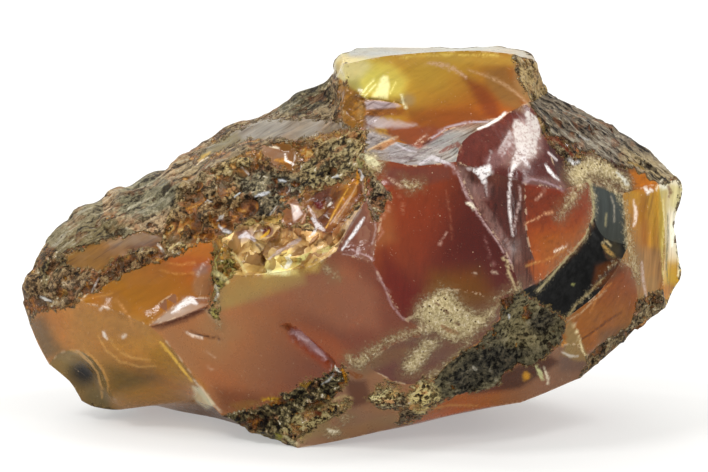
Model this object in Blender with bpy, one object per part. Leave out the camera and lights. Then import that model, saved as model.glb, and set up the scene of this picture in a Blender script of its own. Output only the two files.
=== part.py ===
"""Raw amber piece: one broken lump of amber, 95 mm wide, with glassy fracture faces and a rough outer rind.

The lump is drafted as named corner points joined by named faces. Each face is then split into small
triangles, relaxed into a slightly hollow or bulging fracture surface, and roughened where it is rind.
Millimetres while drafting, metres in the finished mesh. +Z is up, the lump rests on z = 0, and its
broad glassy side looks towards -Y.
"""

import math

import bmesh
import bpy
import numpy as np
from mathutils import Vector, noise

MM = 0.001  # metres in a millimetre

# ---------------------------------------------------------------------------------------------
# Driving dimensions, in millimetres and degrees
# ---------------------------------------------------------------------------------------------
LEAN = 12.0  # the front corners are drafted on a board that leans back from upright by this much
TOE_DEPTH = -16.0  # depth, along Y, of the front toe that the board stands on
GLASS_EDGE = 3.2  # longest triangle edge on the glassy faces
ROUGH_EDGE = 2.4  # and on the rough ones
FIRST_PASS = 1.5 ** 7  # the first pass of splitting allows edges this many times longer
RELAX_ROUNDS = 60  # smoothing rounds inside each face
RIDGE_ROUNDS = 1  # smoothing rounds along the ridges between faces
BOW_ROUNDS = 150  # rounds that raise a face's bow from its ridges
BOW_FULLNESS = 0.8  # 1 gives a round bow, and less a flatter one with steeper sides
RIND_SWELL = 0.9  # height of the rind's broad lumps
RIND_LUMP = 7.5  # width of those lumps
RIND_KNOBBLE = 1.0  # height of its small knobbles
RIND_KNOB = 4.0  # width of those knobbles
BARK_FURROW = 1.1  # depth of the furrows in the woody rind
BARK_WIDTH = 2.6  # width of a furrow
BARK_STRETCH = 4.0  # how many times longer than wide a furrow is
BARK_GRAIN = (0.87, -0.15, -0.47)  # direction that the furrows run in
RIDGE_ANGLE = 12.0  # a ridge between faces is sharp where they meet at more than this angle
FLOOR_GAP = 0.25  # how far all but the sole stays above the floor

# Corners on the front, seen square to the leaning board: (across, up the board, depth along Y).
FRONT = {
    # left tip and the lobe's underside
    "tip": (-47.4, 21.0, 3.0),
    "tip_low": (-46.8, 17.4, 3.0),
    "heel_a": (-45.8, 14.6, 3.0),
    "heel_b": (-44.0, 11.6, 2.0),
    "heel_c": (-41.6, 10.0, 2.0),
    "heel_d": (-39.2, 6.5, 1.0),
    "toe_a": (-36.6, 4.9, 1.0),
    "toe_b": (-33.6, 5.0, 2.0),
    "toe_c": (-27.7, 5.9, 0.0),
    "toe_d": (-23.0, 6.5, -1.0),
    # lower front edge, from the middle corner to the right
    "keel_a": (-18.9, 4.4, -11.0),
    "keel_b": (-16.3, 3.1, -12.0),
    "keel_c": (-13.1, 2.4, -14.0),
    "keel_d": (-10.6, 1.2, -15.0),
    "keel_e": (-8.0, 0.0, -16.0),
    "keel_f": (-2.0, 1.0, -14.5),
    "keel_g": (6.6, 3.0, -13.0),
    "keel_h": (12.3, 4.3, -12.0),
    "keel_i": (18.0, 5.6, -12.0),
    "keel_j": (23.7, 6.4, -12.0),
    "keel_k": (27.3, 7.7, -10.0),
    "keel_l": (32.3, 9.9, -8.0),
    "keel_m": (35.2, 11.9, -5.0),
    "keel_n": (38.7, 14.6, -3.0),
    "keel_o": (42.0, 17.4, -1.0),
    "keel_p": (44.2, 20.3, 0.0),
    # right end
    "nose_a": (46.3, 22.4, 3.0),
    "nose_b": (47.4, 25.0, 4.0),
    "nose_c": (46.4, 29.6, 4.0),
    "nose_d": (46.3, 32.7, 4.0),
    "nose_e": (47.5, 35.9, 4.0),
    "nose_f": (46.7, 38.3, 5.0),
    # right shoulder
    "shoulder_a": (44.0, 40.7, 7.0),
    "shoulder_b": (40.9, 43.4, 8.0),
    "shoulder_c": (35.9, 46.6, 9.0),
    "shoulder_d": (30.1, 49.5, 8.0),
    "shoulder_e": (27.7, 50.6, 7.0),
    # knob on top
    "knob_side_a": (26.8, 53.0, 5.0),
    "knob_side_b": (26.3, 55.3, 3.0),
    "knob_back_a": (25.7, 56.6, 5.0),
    "knob_back_b": (20.9, 57.4, 10.0),
    "knob_back_c": (10.9, 57.3, 11.5),
    "knob_back_d": (0.4, 57.3, 7.0),
    "knob_left_a": (-1.7, 56.1, 5.0),
    "knob_left_b": (-2.6, 53.4, 6.0),
    "knob_edge_a": (-1.4, 54.6, -2.0),
    "knob_edge_b": (3.7, 55.7, -4.0),
    "knob_edge_c": (10.9, 56.3, -4.0),
    "knob_edge_d": (18.0, 56.6, -3.0),
    "knob_edge_e": (23.0, 56.0, -2.0),
    "knob_waist_a": (-1.3, 51.0, -3.0),
    "knob_waist_b": (1.2, 49.6, -6.0),
    "knob_waist_c": (6.6, 49.3, -6.5),
    "knob_waist_d": (23.7, 52.0, -4.0),
    "knob_foot": (-1.6, 46.7, -5.0),
    # crest of the left slope
    "crest_a": (-5.1, 52.1, 9.0),
    "crest_b": (-9.9, 50.0, 11.0),
    "crest_c": (-15.6, 47.1, 12.0),
    "crest_d": (-21.3, 44.3, 12.0),
    "crest_e": (-24.3, 43.3, 11.0),
    "crest_f": (-26.0, 41.0, 10.0),
    "crest_g": (-31.3, 38.1, 10.0),
    "crest_h": (-36.6, 35.6, 9.0),
    "crest_i": (-41.7, 32.6, 8.0),
    "crest_j": (-44.9, 29.6, 6.0),
    "crest_k": (-46.7, 26.4, 4.0),
    # lobe, with its thumbprint hollow
    "lobe_a": (-46.0, 19.3, 0.0),
    "lobe_b": (-42.0, 19.7, -3.0),
    "lobe_c": (-38.0, 20.4, -5.5),
    "lobe_d": (-34.6, 19.9, -7.0),
    "lobe_e": (-29.2, 17.3, -9.0),
    "bowl_a": (-42.6, 13.6, -0.5),
    "bowl_b": (-38.9, 13.9, -3.5),
    "bowl_c": (-36.3, 11.3, -5.0),
    "bowl_d": (-35.1, 7.9, -4.5),
    "ridge_a": (-27.3, 16.0, -9.5),
    "ridge_b": (-24.6, 12.4, -10.5),
    "ridge_c": (-22.0, 8.9, -11.5),
    "ridge_d": (-20.1, 5.8, -11.0),
    # orange hollow beside the lobe, and its ledge
    "hollow_a": (-36.7, 22.4, -4.5),
    "hollow_b": (-32.0, 25.3, -6.0),
    "hollow_c": (-27.7, 26.6, -7.0),
    "hollow_d": (-23.4, 28.7, -8.0),
    "hollow_e": (-20.0, 29.6, -9.0),
    "hollow_f": (-20.0, 25.3, -9.0),
    "hollow_g": (-20.3, 21.3, -10.0),
    "ledge_a": (-24.0, 21.4, -9.0),
    "ledge_b": (-21.2, 19.8, -12.8),
    # window in the rind
    "window_a": (-42.3, 25.6, -1.0),
    "window_b": (-41.7, 27.3, -0.5),
    "window_c": (-36.3, 29.6, -1.0),
    "window_d": (-30.6, 30.7, -2.5),
    "window_e": (-27.3, 30.4, -4.0),
    "window_f": (-27.7, 28.7, -5.5),
    "window_g": (-33.7, 27.3, -4.0),
    "window_h": (-36.6, 25.0, -3.5),
    # rind slope
    "slope_a": (-36.0, 32.4, 1.0),
    "slope_b": (-25.6, 36.7, 0.0),
    "slope_c": (-15.6, 42.4, 0.0),
    "slope_d": (-7.7, 43.9, -2.0),
    "slope_e": (-1.9, 45.2, -4.0),
    # chipped amber under the slope
    "chip_a": (-18.9, 29.6, -11.0),
    "chip_b": (-16.3, 32.1, -10.0),
    "chip_c": (-10.6, 31.9, -12.0),
    "chip_d": (-3.4, 30.7, -16.0),
    "step_a": (-19.4, 24.4, -13.5),
    "step_b": (-19.6, 20.6, -13.2),
    # pink face
    "pink_a": (-12.0, 24.7, -16.5),
    "pink_b": (-5.6, 25.9, -19.0),
    "pink_c": (4.6, 22.3, -23.0),
    "pink_d": (7.1, 18.4, -24.0),
    "pink_e": (10.1, 17.1, -24.2),
    "pink_f": (5.9, 14.9, -23.0),
    "pink_g": (1.1, 12.1, -20.8),
    "pink_h": (-1.6, 11.6, -19.8),
    # bevel and red face
    "bevel_a": (1.6, 40.7, -13.0),
    "bevel_b": (2.6, 37.4, -14.8),
    "bevel_c": (1.4, 35.0, -16.0),
    "bevel_d": (-2.5, 28.0, -19.0),
    "bevel_e": (4.4, 36.5, -16.3),
    "bevel_f": (3.4, 30.3, -19.3),
    "bevel_g": (2.6, 26.4, -21.5),
    "spine_a": (14.4, 40.6, -15.0),
    "spine_b": (16.0, 36.4, -17.0),
    "spine_c": (17.7, 33.3, -18.5),
    "spine_d": (21.3, 28.1, -21.0),
    "spine_e": (23.1, 23.9, -22.0),
    # bands of rind low on the front
    "band_a": (-7.0, 9.1, -17.5),
    "band_b": (-12.3, 6.4, -15.0),
    "band_c": (-16.3, 4.9, -12.8),
    "band_d": (-0.6, 9.9, -18.8),
    "band_e": (-3.4, 6.7, -17.0),
    "band_f": (-9.1, 3.1, -15.6),
    "low_a": (7.0, 9.0, -19.5),
    "patch_a": (8.7, 18.4, -24.2),
    "patch_b": (10.9, 22.4, -23.6),
    "patch_c": (15.1, 22.7, -23.2),
    "patch_d": (20.9, 21.0, -22.2),
    # dark rotten hollow low on the right
    "dark_a": (23.4, 22.3, -21.6),
    "dark_b": (20.9, 18.4, -21.5),
    "dark_c": (16.6, 14.6, -21.0),
    "dark_d": (11.6, 9.9, -18.8),
    "dark_e": (10.1, 6.7, -17.0),
    "dark_f": (14.4, 7.4, -15.2),
    "dark_g": (20.9, 9.1, -14.2),
    "dark_h": (26.6, 12.4, -12.5),
    "dark_i": (29.4, 14.6, -12.0),
    "dark_j": (30.1, 18.4, -12.8),
    "dark_k": (26.6, 20.3, -15.5),
    # ledge under the knob, and the faces right of the spine
    "shelf_a": (1.6, 45.3, -7.5),
    "shelf_b": (5.9, 43.4, -9.5),
    "shelf_c": (9.0, 42.9, -10.5),
    "shelf_d": (12.3, 44.9, -9.5),
    "shelf_e": (16.6, 46.3, -9.0),
    "shelf_f": (21.2, 46.9, -9.0),
    "lip_a": (3.0, 41.3, -13.0),
    "lip_b": (8.0, 39.9, -15.2),
    "lip_c": (15.1, 43.7, -13.2),
    "lip_d": (18.0, 45.4, -11.6),
    "brow_a": (22.0, 47.9, -8.6),
    "brow_b": (25.1, 49.1, -6.0),
    "brow_c": (26.8, 46.0, -7.0),
    "brow_d": (28.0, 41.0, -10.5),
    "ember_a": (24.1, 37.7, -16.3),
    "ember_b": (29.4, 36.7, -12.8),
    "ember_c": (33.4, 37.9, -8.3),
    "ember_d": (34.0, 33.1, -9.3),
    "ember_e": (32.7, 29.3, -11.8),
    "ember_f": (29.4, 26.4, -14.8),
    "ember_g": (26.6, 23.9, -18.2),
    "ember_h": (24.3, 29.6, -19.4),
    "eave_a": (30.1, 42.4, -7.0),
    "eave_b": (35.1, 41.0, -4.5),
    "eave_c": (40.1, 39.9, -1.5),
    "eave_d": (43.7, 37.7, 0.0),
    # right-hand faces
    "cheek_a": (38.3, 36.2, -4.3),
    "cheek_b": (39.2, 28.9, -5.0),
    "cheek_c": (35.1, 29.6, -8.2),
    "cheek_d": (38.0, 26.4, -7.0),
    "cheek_e": (40.0, 26.8, -4.8),
    "cheek_f": (40.6, 21.0, -4.2),
    "cheek_g": (40.3, 17.9, -3.8),
    "cheek_h": (35.1, 22.1, -9.6),
    "cheek_i": (32.0, 15.3, -10.8),
    "cheek_j": (33.4, 12.9, -8.8),
    "end_a": (44.7, 31.0, 0.5),
    "end_b": (44.4, 22.4, -0.2),
}

# Corners of the back and the underside: (x, y, z).
BACK = {
    "nape_a": (-3.5, 13.5, 46.0),
    "nape_b": (7.0, 18.0, 42.5),
    "nape_c": (24.0, 14.0, 43.5),
    "back_a": (-31.0, 17.5, 29.0),
    "back_b": (-16.0, 20.0, 36.0),
    "back_c": (-2.0, 21.5, 39.0),
    "back_d": (14.0, 21.0, 38.5),
    "back_e": (30.0, 17.5, 36.0),
    "back_f": (41.0, 12.5, 32.0),
    "waist_a": (-44.0, 10.0, 16.0),
    "waist_b": (-34.0, 19.5, 18.0),
    "waist_c": (2.0, 26.8, 24.0),
    "waist_d": (19.0, 25.5, 23.5),
    "waist_e": (34.5, 18.5, 22.5),
    "waist_f": (44.0, 10.5, 21.0),
    "scar_a": (-24.5, 21.0, 29.5),
    "scar_b": (-15.0, 22.5, 32.5),
    "scar_c": (-6.0, 24.0, 31.0),
    "scar_d": (-3.5, 26.0, 25.5),
    "scar_e": (-9.0, 26.8, 18.5),
    "scar_f": (-18.0, 25.2, 16.0),
    "scar_g": (-26.5, 22.5, 21.0),
    "pane_a": (5.0, 23.2, 35.5),
    "pane_b": (1.2, 25.6, 29.5),
    "pane_c": (10.0, 27.2, 21.0),
    "pane_d": (27.0, 22.6, 20.0),
    "pane_e": (23.0, 20.6, 34.8),
    "hem_a": (-39.0, 10.5, 6.5),
    "hem_b": (-28.0, 20.0, 6.5),
    "hem_c": (-12.0, 25.0, 8.0),
    "hem_d": (6.0, 25.0, 7.5),
    "hem_e": (22.0, 20.5, 8.5),
    "hem_f": (34.5, 12.0, 12.5),
    "base_a": (0.0, -9.0, 0.0),
    "base_b": (8.0, 0.0, 0.0),
    "base_c": (17.5, 11.5, 0.0),
    "base_d": (12.0, 18.5, 0.0),
    "base_e": (-6.0, 21.0, 0.0),
    "base_f": (-22.0, 18.0, 0.0),
    "base_g": (-30.5, 12.5, 0.0),
    "base_h": (-26.0, 7.0, 0.0),
    "base_i": (-20.0, 2.5, 0.0),
    "base_j": (-15.5, -3.0, 0.0),
    "base_k": (-12.0, -9.5, 0.0),
}

# Faces: name -> (surface, bow, corners). The surface is glass, lumpy rind, furrowed bark or the base it
# stands on. The bow is how far the face's middle stands out from its corners, in millimetres, and is
# negative in a hollow face.
FACES = {
    "lobe_face": ("glass", 0.5, "lobe_a lobe_b lobe_c lobe_d lobe_e ridge_a ridge_b ridge_c toe_d toe_c "
                  "toe_b bowl_d bowl_c bowl_b bowl_a heel_b heel_a tip_low"),
    "thumbprint": ("glass", -1.1, "heel_b bowl_a bowl_b bowl_c bowl_d toe_b toe_a heel_d heel_c"),
    "flake": ("glass", 0.0, "ridge_c ridge_d toe_d"),
    "orange_hollow": ("glass", -1.3, "hollow_a hollow_b hollow_c hollow_d hollow_e hollow_f hollow_g "
                      "ledge_a lobe_e lobe_d lobe_c"),
    "ledge": ("glass", -0.4, "lobe_e ledge_a hollow_g ledge_b"),
    "step_wall": ("glass", -0.3, "hollow_e chip_a step_a step_b ledge_b hollow_g hollow_f"),
    "pink_face": ("glass", 0.5, "lobe_e ledge_b step_b step_a pink_a pink_b bevel_d bevel_g pink_c pink_d "
                  "pink_e pink_f pink_g pink_h band_a band_b band_c keel_a ridge_d ridge_c ridge_b ridge_a"),
    "chips": ("glass", -0.8, "chip_a chip_b chip_c chip_d bevel_c bevel_d pink_b pink_a step_a"),
    "bevel": ("glass", -0.4, "bevel_c bevel_b bevel_e bevel_f bevel_g bevel_d"),
    "red_face": ("glass", 0.5, "bevel_a lip_a lip_b spine_a spine_b spine_c spine_d spine_e dark_a patch_d "
                 "patch_c patch_b patch_a pink_d pink_c bevel_g bevel_f bevel_e bevel_b"),
    "pale_patch": ("rind", 0.3, "patch_a patch_b patch_c patch_d dark_b dark_c dark_d low_a pink_g pink_f "
                   "pink_e pink_d"),
    "low_face": ("glass", 0.4, "pink_g low_a dark_d dark_e keel_g keel_f keel_e keel_d band_f band_e band_d"
                 " pink_h"),
    "band": ("rind", -0.3, "keel_a band_c band_b band_a pink_h band_d band_e band_f keel_d keel_c keel_b"),
    "rotten_hollow": ("rind", -1.5, "dark_a dark_k dark_j dark_i dark_h dark_g dark_f dark_e dark_d dark_c "
                      "dark_b patch_d"),
    "keel_face": ("glass", 0.4, "keel_g dark_e dark_f dark_g dark_h dark_i cheek_i cheek_j keel_l keel_k "
                  "keel_j keel_i keel_h"),
    "spine_face": ("glass", -0.4, "spine_a ember_a ember_h ember_g dark_a spine_e spine_d spine_c spine_b"),
    "ember_face": ("glass", 0.5, "ember_a ember_b ember_c ember_d ember_e ember_f ember_g ember_h"),
    "glare_face": ("glass", 0.8, "shelf_f brow_a brow_b brow_c brow_d ember_b ember_a spine_a lip_c lip_d"),
    "shelf": ("glass", -0.5, "shelf_a shelf_b shelf_c shelf_d shelf_e shelf_f lip_d lip_c spine_a lip_b "
              "lip_a bevel_a"),
    "knob_front": ("glass", -1.0, "knob_edge_a knob_edge_b knob_edge_c knob_edge_d knob_edge_e knob_waist_d"
                   " brow_b brow_a shelf_f shelf_e shelf_d shelf_c shelf_b shelf_a knob_waist_c "
                   "knob_waist_b knob_waist_a"),
    "knob_notch": ("glass", -0.3, "knob_waist_a knob_waist_b knob_waist_c shelf_a knob_foot"),
    "knob_top": ("glass", -0.3, "knob_left_a knob_edge_a knob_edge_b knob_edge_c knob_edge_d knob_edge_e "
                 "knob_side_b knob_back_a knob_back_b knob_back_c knob_back_d"),
    "knob_side": ("bark", 0.0, "knob_edge_e knob_side_b knob_side_a shoulder_e brow_b knob_waist_d"),
    "knob_flank": ("rind", 0.2, "knob_left_a knob_edge_a knob_waist_a knob_foot slope_e crest_a "
                   "knob_left_b"),
    "shoulder": ("bark", 0.6, "brow_b brow_c eave_a eave_b eave_c eave_d nose_f shoulder_a shoulder_b "
                 "shoulder_c shoulder_d shoulder_e"),
    "brow": ("glass", -0.5, "brow_c brow_d ember_b ember_c cheek_a eave_d eave_c eave_b eave_a"),
    "coal_upper": ("glass", 0.2, "ember_c cheek_a cheek_b cheek_c ember_d"),
    "coal_lower": ("glass", -0.6, "ember_d cheek_c cheek_b cheek_d cheek_h dark_j dark_k dark_a ember_g "
                   "ember_f ember_e"),
    "amber_cheek": ("glass", 0.5, "cheek_d cheek_e cheek_f cheek_g cheek_j cheek_i dark_i dark_j cheek_h"),
    "right_end": ("glass", -0.5, "cheek_a eave_d end_a end_b cheek_f cheek_e cheek_d cheek_b"),
    "thin_edge": ("glass", -0.5, "eave_d nose_f nose_e nose_d nose_c nose_b nose_a keel_p end_b end_a"),
    "cheek_rind": ("rind", 0.0, "cheek_f end_b keel_p keel_o keel_n keel_m keel_l cheek_j cheek_g"),
    "window": ("glass", -0.2, "window_a window_b window_c window_d window_e window_f window_g window_h"),
    "tip_rind": ("rind", 0.3, "lobe_a tip_low tip crest_k crest_j window_b window_a window_h hollow_a "
                 "lobe_c lobe_b"),
    "window_sill": ("rind", 0.2, "window_h window_g window_f hollow_d hollow_c hollow_b hollow_a"),
    "slope_left": ("rind", 0.3, "crest_j crest_i crest_h slope_a window_d window_c window_b"),
    "slope_middle": ("rind", 0.4, "crest_h crest_g crest_f slope_b window_e window_d slope_a"),
    "slope_front": ("rind", -0.6, "slope_b slope_c slope_d slope_e knob_foot shelf_a bevel_a bevel_b "
                    "bevel_c chip_d chip_c chip_b chip_a hollow_e hollow_d window_f window_e"),
    "slope_top": ("rind", 0.3, "slope_b crest_f crest_e crest_d crest_c crest_b crest_a slope_e slope_d "
                  "slope_c"),
    # back
    "nape_left": ("rind", 0.3, "knob_left_a knob_back_d nape_a crest_a knob_left_b"),
    "nape_chip": ("glass", -0.8, "knob_back_d knob_back_c nape_b nape_a"),
    "nape": ("bark", 0.3, "knob_back_c knob_back_b knob_back_a knob_side_b knob_side_a shoulder_e nape_c "
             "nape_b"),
    "back_left": ("rind", 0.8, "crest_b crest_c crest_d crest_e crest_f crest_g crest_h crest_i back_a "
                  "back_b"),
    "back_top": ("rind", 0.6, "crest_a nape_a nape_b nape_c back_d back_c back_b crest_b"),
    "back_right": ("bark", 0.8, "shoulder_e shoulder_d shoulder_c shoulder_b shoulder_a back_f back_e "
                   "pane_e back_d nape_c"),
    "far_left": ("rind", 0.6, "crest_i crest_j crest_k tip waist_a waist_b back_a"),
    "far_upper": ("rind", 0.3, "back_a back_b back_c scar_c scar_b scar_a"),
    "far_side": ("rind", 0.2, "back_a scar_a scar_g waist_b"),
    "far_scar": ("glass", -1.2, "scar_a scar_b scar_c scar_d scar_e scar_f scar_g"),
    "far_spine": ("rind", 0.3, "scar_c back_c back_d pane_a pane_b waist_c scar_e scar_d"),
    "far_pane": ("glass", -1.0, "back_d pane_a pane_b waist_c pane_c waist_d pane_d waist_e back_e "
                 "pane_e"),
    "far_right": ("rind", 0.4, "back_f back_e waist_e waist_f nose_b nose_c nose_d nose_e nose_f "
                  "shoulder_a"),
    "heel": ("glass", 0.4, "tip tip_low heel_a heel_b heel_c heel_d hem_a waist_a"),
    "hem_left": ("rind", 0.6, "waist_a hem_a hem_b hem_c scar_f scar_g waist_b"),
    "hem_middle": ("rind", 0.8, "scar_f hem_c hem_d waist_c scar_e"),
    "hem_right": ("glass", -0.7, "waist_c hem_d hem_e hem_f waist_e pane_d waist_d pane_c"),
    "hem_end": ("rind", 0.3, "waist_f waist_e hem_f keel_n keel_o keel_p nose_a nose_b"),
    # underside
    "sole": ("base", 0.0, "keel_e base_a base_b base_c base_d base_e base_f base_g base_h base_i base_j "
             "base_k"),
    "under_back": ("rind", 0.3, "hem_b hem_c hem_d hem_e base_c base_d base_e base_f"),
    "under_left": ("rind", 0.2, "hem_a hem_b base_f base_g toe_b toe_a heel_d"),
    "under_lobe": ("glass", -0.4, "toe_b toe_c toe_d ridge_d keel_a keel_b base_j base_i base_h base_g"),
    "under_corner": ("rind", 0.0, "keel_b keel_c keel_d keel_e base_k base_j"),
    "under_right": ("glass", 0.3, "keel_e keel_f keel_g keel_h keel_i keel_j base_c base_b base_a"),
    "under_far": ("glass", 0.4, "keel_j keel_k keel_l keel_m keel_n hem_f hem_e base_c"),
}


SURFACES = [surface for surface, _, _ in FACES.values()]

# ---------------------------------------------------------------------------------------------
# From corners to one mesh
# ---------------------------------------------------------------------------------------------
def board_point(across, up, depth):
    """A front corner in (x, y, z): it slides along the line of sight through its place on the board."""
    lean = math.radians(LEAN)
    height = (up - (depth - TOE_DEPTH) * math.sin(lean)) / math.cos(lean)
    return Vector((across, depth, height))


def draft_lump():
    """The coarse lump: one polygon for each named face, numbered in the layer that splitting keeps."""
    bm = bmesh.new()
    number = bm.faces.layers.int.new("face_number")
    corners = {name: bm.verts.new(board_point(*place)) for name, place in FRONT.items()}
    corners.update({name: bm.verts.new(place) for name, place in BACK.items()})
    for index, (_, _, names) in enumerate(FACES.values()):
        face = bm.faces.new([corners[name] for name in names.split()])
        face[number] = index
    bmesh.ops.recalc_face_normals(bm, faces=bm.faces)
    bmesh.ops.triangulate(bm, faces=bm.faces)
    return bm


def is_ridge(edge, number):
    first, second = edge.link_faces
    return first[number] != second[number]


def longest_edge(edge, number):
    """The length that an edge may have: shorter where rough faces meet it."""
    surfaces = [SURFACES[face[number]] for face in edge.link_faces]
    return ROUGH_EDGE if set(surfaces) & {"rind", "bark"} else GLASS_EDGE


def split_evenly(bm):
    """Halves long edges in passes, turning the diagonals inside each face so triangles stay even."""
    number = bm.faces.layers.int["face_number"]
    coarseness = FIRST_PASS
    while coarseness >= 1:
        long_edges = [edge for edge in bm.edges
                      if edge.calc_length() > coarseness * longest_edge(edge, number)]
        if long_edges:
            bmesh.ops.subdivide_edges(bm, edges=long_edges, cuts=1)
            bmesh.ops.triangulate(bm, faces=[face for face in bm.faces if len(face.verts) > 3])
        inner = [edge for edge in bm.edges if not is_ridge(edge, number)]
        bmesh.ops.beautify_fill(bm, faces=bm.faces, edges=inner, method="ANGLE")
        relax(bm, rounds=6)
        if not long_edges:
            coarseness /= 1.5
    return bm


def read_mesh(bm):
    """Vertex places, edge ends, ridge flags and the number of faces that meet at each vertex."""
    number = bm.faces.layers.int["face_number"]
    bm.verts.index_update()
    places = np.array([vert.co for vert in bm.verts])
    ends = np.array([[vert.index for vert in edge.verts] for edge in bm.edges])
    ridge = np.array([is_ridge(edge, number) for edge in bm.edges])
    meeting = np.array([len({face[number] for face in vert.link_faces}) for vert in bm.verts])
    return places, ends, ridge, meeting


def neighbour_mean(values, ends):
    """The mean of each vertex's neighbours, over the edges given."""
    total = np.zeros_like(values)
    count = np.zeros(len(values))
    for here, there in ((0, 1), (1, 0)):
        np.add.at(total, ends[:, here], values[ends[:, there]])
        np.add.at(count, ends[:, here], 1)
    count = np.maximum(count, 1)
    return total / (count[:, None] if values.ndim > 1 else count)


def relax(bm, rounds):
    """Evens out the vertices inside the faces, and leaves ridges and corners where they are."""
    places, ends, _, meeting = read_mesh(bm)
    inside = meeting == 1
    for _ in range(rounds):
        places[inside] = neighbour_mean(places, ends)[inside]
    write_places(bm, places)


def write_places(bm, places):
    for vert, place in zip(bm.verts, places):
        vert.co = place


def smooth_ridges(bm):
    """Rounds the kinks along each ridge. Corners where three or more faces meet stay put."""
    for _ in range(RIDGE_ROUNDS):
        places, ends, ridge, meeting = read_mesh(bm)
        along = (meeting == 2)
        places[along] = (places[along] + neighbour_mean(places, ends[ridge])[along]) / 2
        write_places(bm, places)


def bow_faces(bm):
    """Bulges or hollows each face between its ridges, by the bow that FACES gives it."""
    number = bm.faces.layers.int["face_number"]
    places, ends, _, meeting = read_mesh(bm)
    inside = meeting == 1
    rise = np.zeros(len(places))
    for _ in range(BOW_ROUNDS):
        rise[inside] = neighbour_mean(rise, ends)[inside] + 1
    owner = np.array([vert.link_faces[0][number] for vert in bm.verts])
    for index, (_, bow, _) in enumerate(FACES.values()):
        mine = inside & (owner == index)
        if bow and mine.any():
            normal = sum((face.normal * face.calc_area() for face in bm.faces if face[number] == index),
                         Vector())
            share = (rise[mine] / rise[mine].max()) ** BOW_FULLNESS
            places[mine] += bow * share[:, None] * np.array(normal.normalized())
    write_places(bm, places)


def surface_share(bm, surface):
    """How much each vertex belongs to faces of one surface: 1 inside them, less on their ridges."""
    number = bm.faces.layers.int["face_number"]
    shares = []
    for vert in bm.verts:
        around = [SURFACES[face[number]] == surface for face in vert.link_faces]
        shares.append(sum(around) / len(around))
    return shares


def rind_height(place):
    """Broad lumps with rounded knobbles on them, parted by sharp creases."""
    swell = noise.noise(place / RIND_LUMP)
    knobble = 2 * abs(noise.noise(place / RIND_KNOB)) - 0.5
    return RIND_SWELL * swell + RIND_KNOBBLE * knobble


def bark_height(place):
    """Long furrows that run along the grain."""
    grain = Vector(BARK_GRAIN).normalized()
    along = place.dot(grain) * grain
    squeezed = (place - along + along / BARK_STRETCH) / BARK_WIDTH
    return BARK_FURROW * (0.3 - abs(noise.noise(squeezed))) + RIND_SWELL * noise.noise(place / RIND_LUMP) / 2


def roughen(bm, surface, height):
    """Raises one kind of surface along its own normal, by a height that depends on the place."""
    bm.normal_update()
    shares = surface_share(bm, surface)
    moves = [vert.normal * share * height(vert.co) for vert, share in zip(bm.verts, shares)]
    for vert, move in zip(bm.verts, moves):
        vert.co += move


def flatten_sole(bm):
    """Sets the sole flat on z = 0, in few triangles, and keeps the rest clear of the floor."""
    number = bm.faces.layers.int["face_number"]
    for vert, share in zip(bm.verts, surface_share(bm, "base")):
        vert.co.z = 0 if share else max(vert.co.z, FLOOR_GAP)
    sole = [face for face in bm.faces if SURFACES[face[number]] == "base"]
    whole = bmesh.ops.dissolve_faces(bm, faces=sole)["region"]
    bmesh.ops.triangulate(bm, faces=whole, quad_method="BEAUTY", ngon_method="BEAUTY")


def centre(bm):
    """Puts the origin under the middle of the lump's box."""
    places = np.array([vert.co for vert in bm.verts])
    middle = (places.min(axis=0) + places.max(axis=0)) / 2
    bmesh.ops.translate(bm, vec=(-middle[0], -middle[1], 0), verts=bm.verts)


def sharpen_ridges(bm):
    """Smooth shading, but for the crisp ridges between faces."""
    number = bm.faces.layers.int["face_number"]
    bm.normal_update()
    for face in bm.faces:
        face.smooth = True
    for edge in bm.edges:
        crisp = is_ridge(edge, number) and edge.calc_face_angle() > math.radians(RIDGE_ANGLE)
        edge.smooth = not crisp


def amber_material():
    material = bpy.data.materials.new("amber")
    material.use_nodes = True
    shader = material.node_tree.nodes["Principled BSDF"]
    shader.inputs["Base Color"].default_value = (0.42, 0.13, 0.03, 1)
    shader.inputs["Roughness"].default_value = 0.15
    shader.inputs["Metallic"].default_value = 0
    return material


def make_piece():
    bm = split_evenly(draft_lump())
    smooth_ridges(bm)
    relax(bm, RELAX_ROUNDS)
    bow_faces(bm)
    roughen(bm, "rind", rind_height)
    roughen(bm, "bark", bark_height)
    flatten_sole(bm)
    centre(bm)
    bmesh.ops.scale(bm, vec=(MM, MM, MM), verts=bm.verts)
    sharpen_ridges(bm)
    mesh = bpy.data.meshes.new("raw_amber")
    bm.to_mesh(mesh)
    bm.free()
    mesh.materials.append(amber_material())
    piece = bpy.data.objects.new("raw_amber", mesh)
    bpy.context.scene.collection.objects.link(piece)
    return piece


def main():
    for old in list(bpy.data.objects):
        bpy.data.objects.remove(old)
    make_piece()


main()
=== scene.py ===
"""The looks of the raw amber piece: one broken lump of amber, 95 mm wide, on a white table.

The lump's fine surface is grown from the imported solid: its triangles are numbered by the face of the
cage that they belong to, split, smoothed between the ridges and given relief. Glass, rind, pale froth
and coal are then told apart by attributes that one node material reads.
Shapes are in millimetres, and outlines drawn on the picture in pixels, until the mesh is written.
"""

import math

import bmesh
import bpy
import numpy as np
from mathutils import Matrix, Vector, noise
from mathutils.bvhtree import BVHTree


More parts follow.
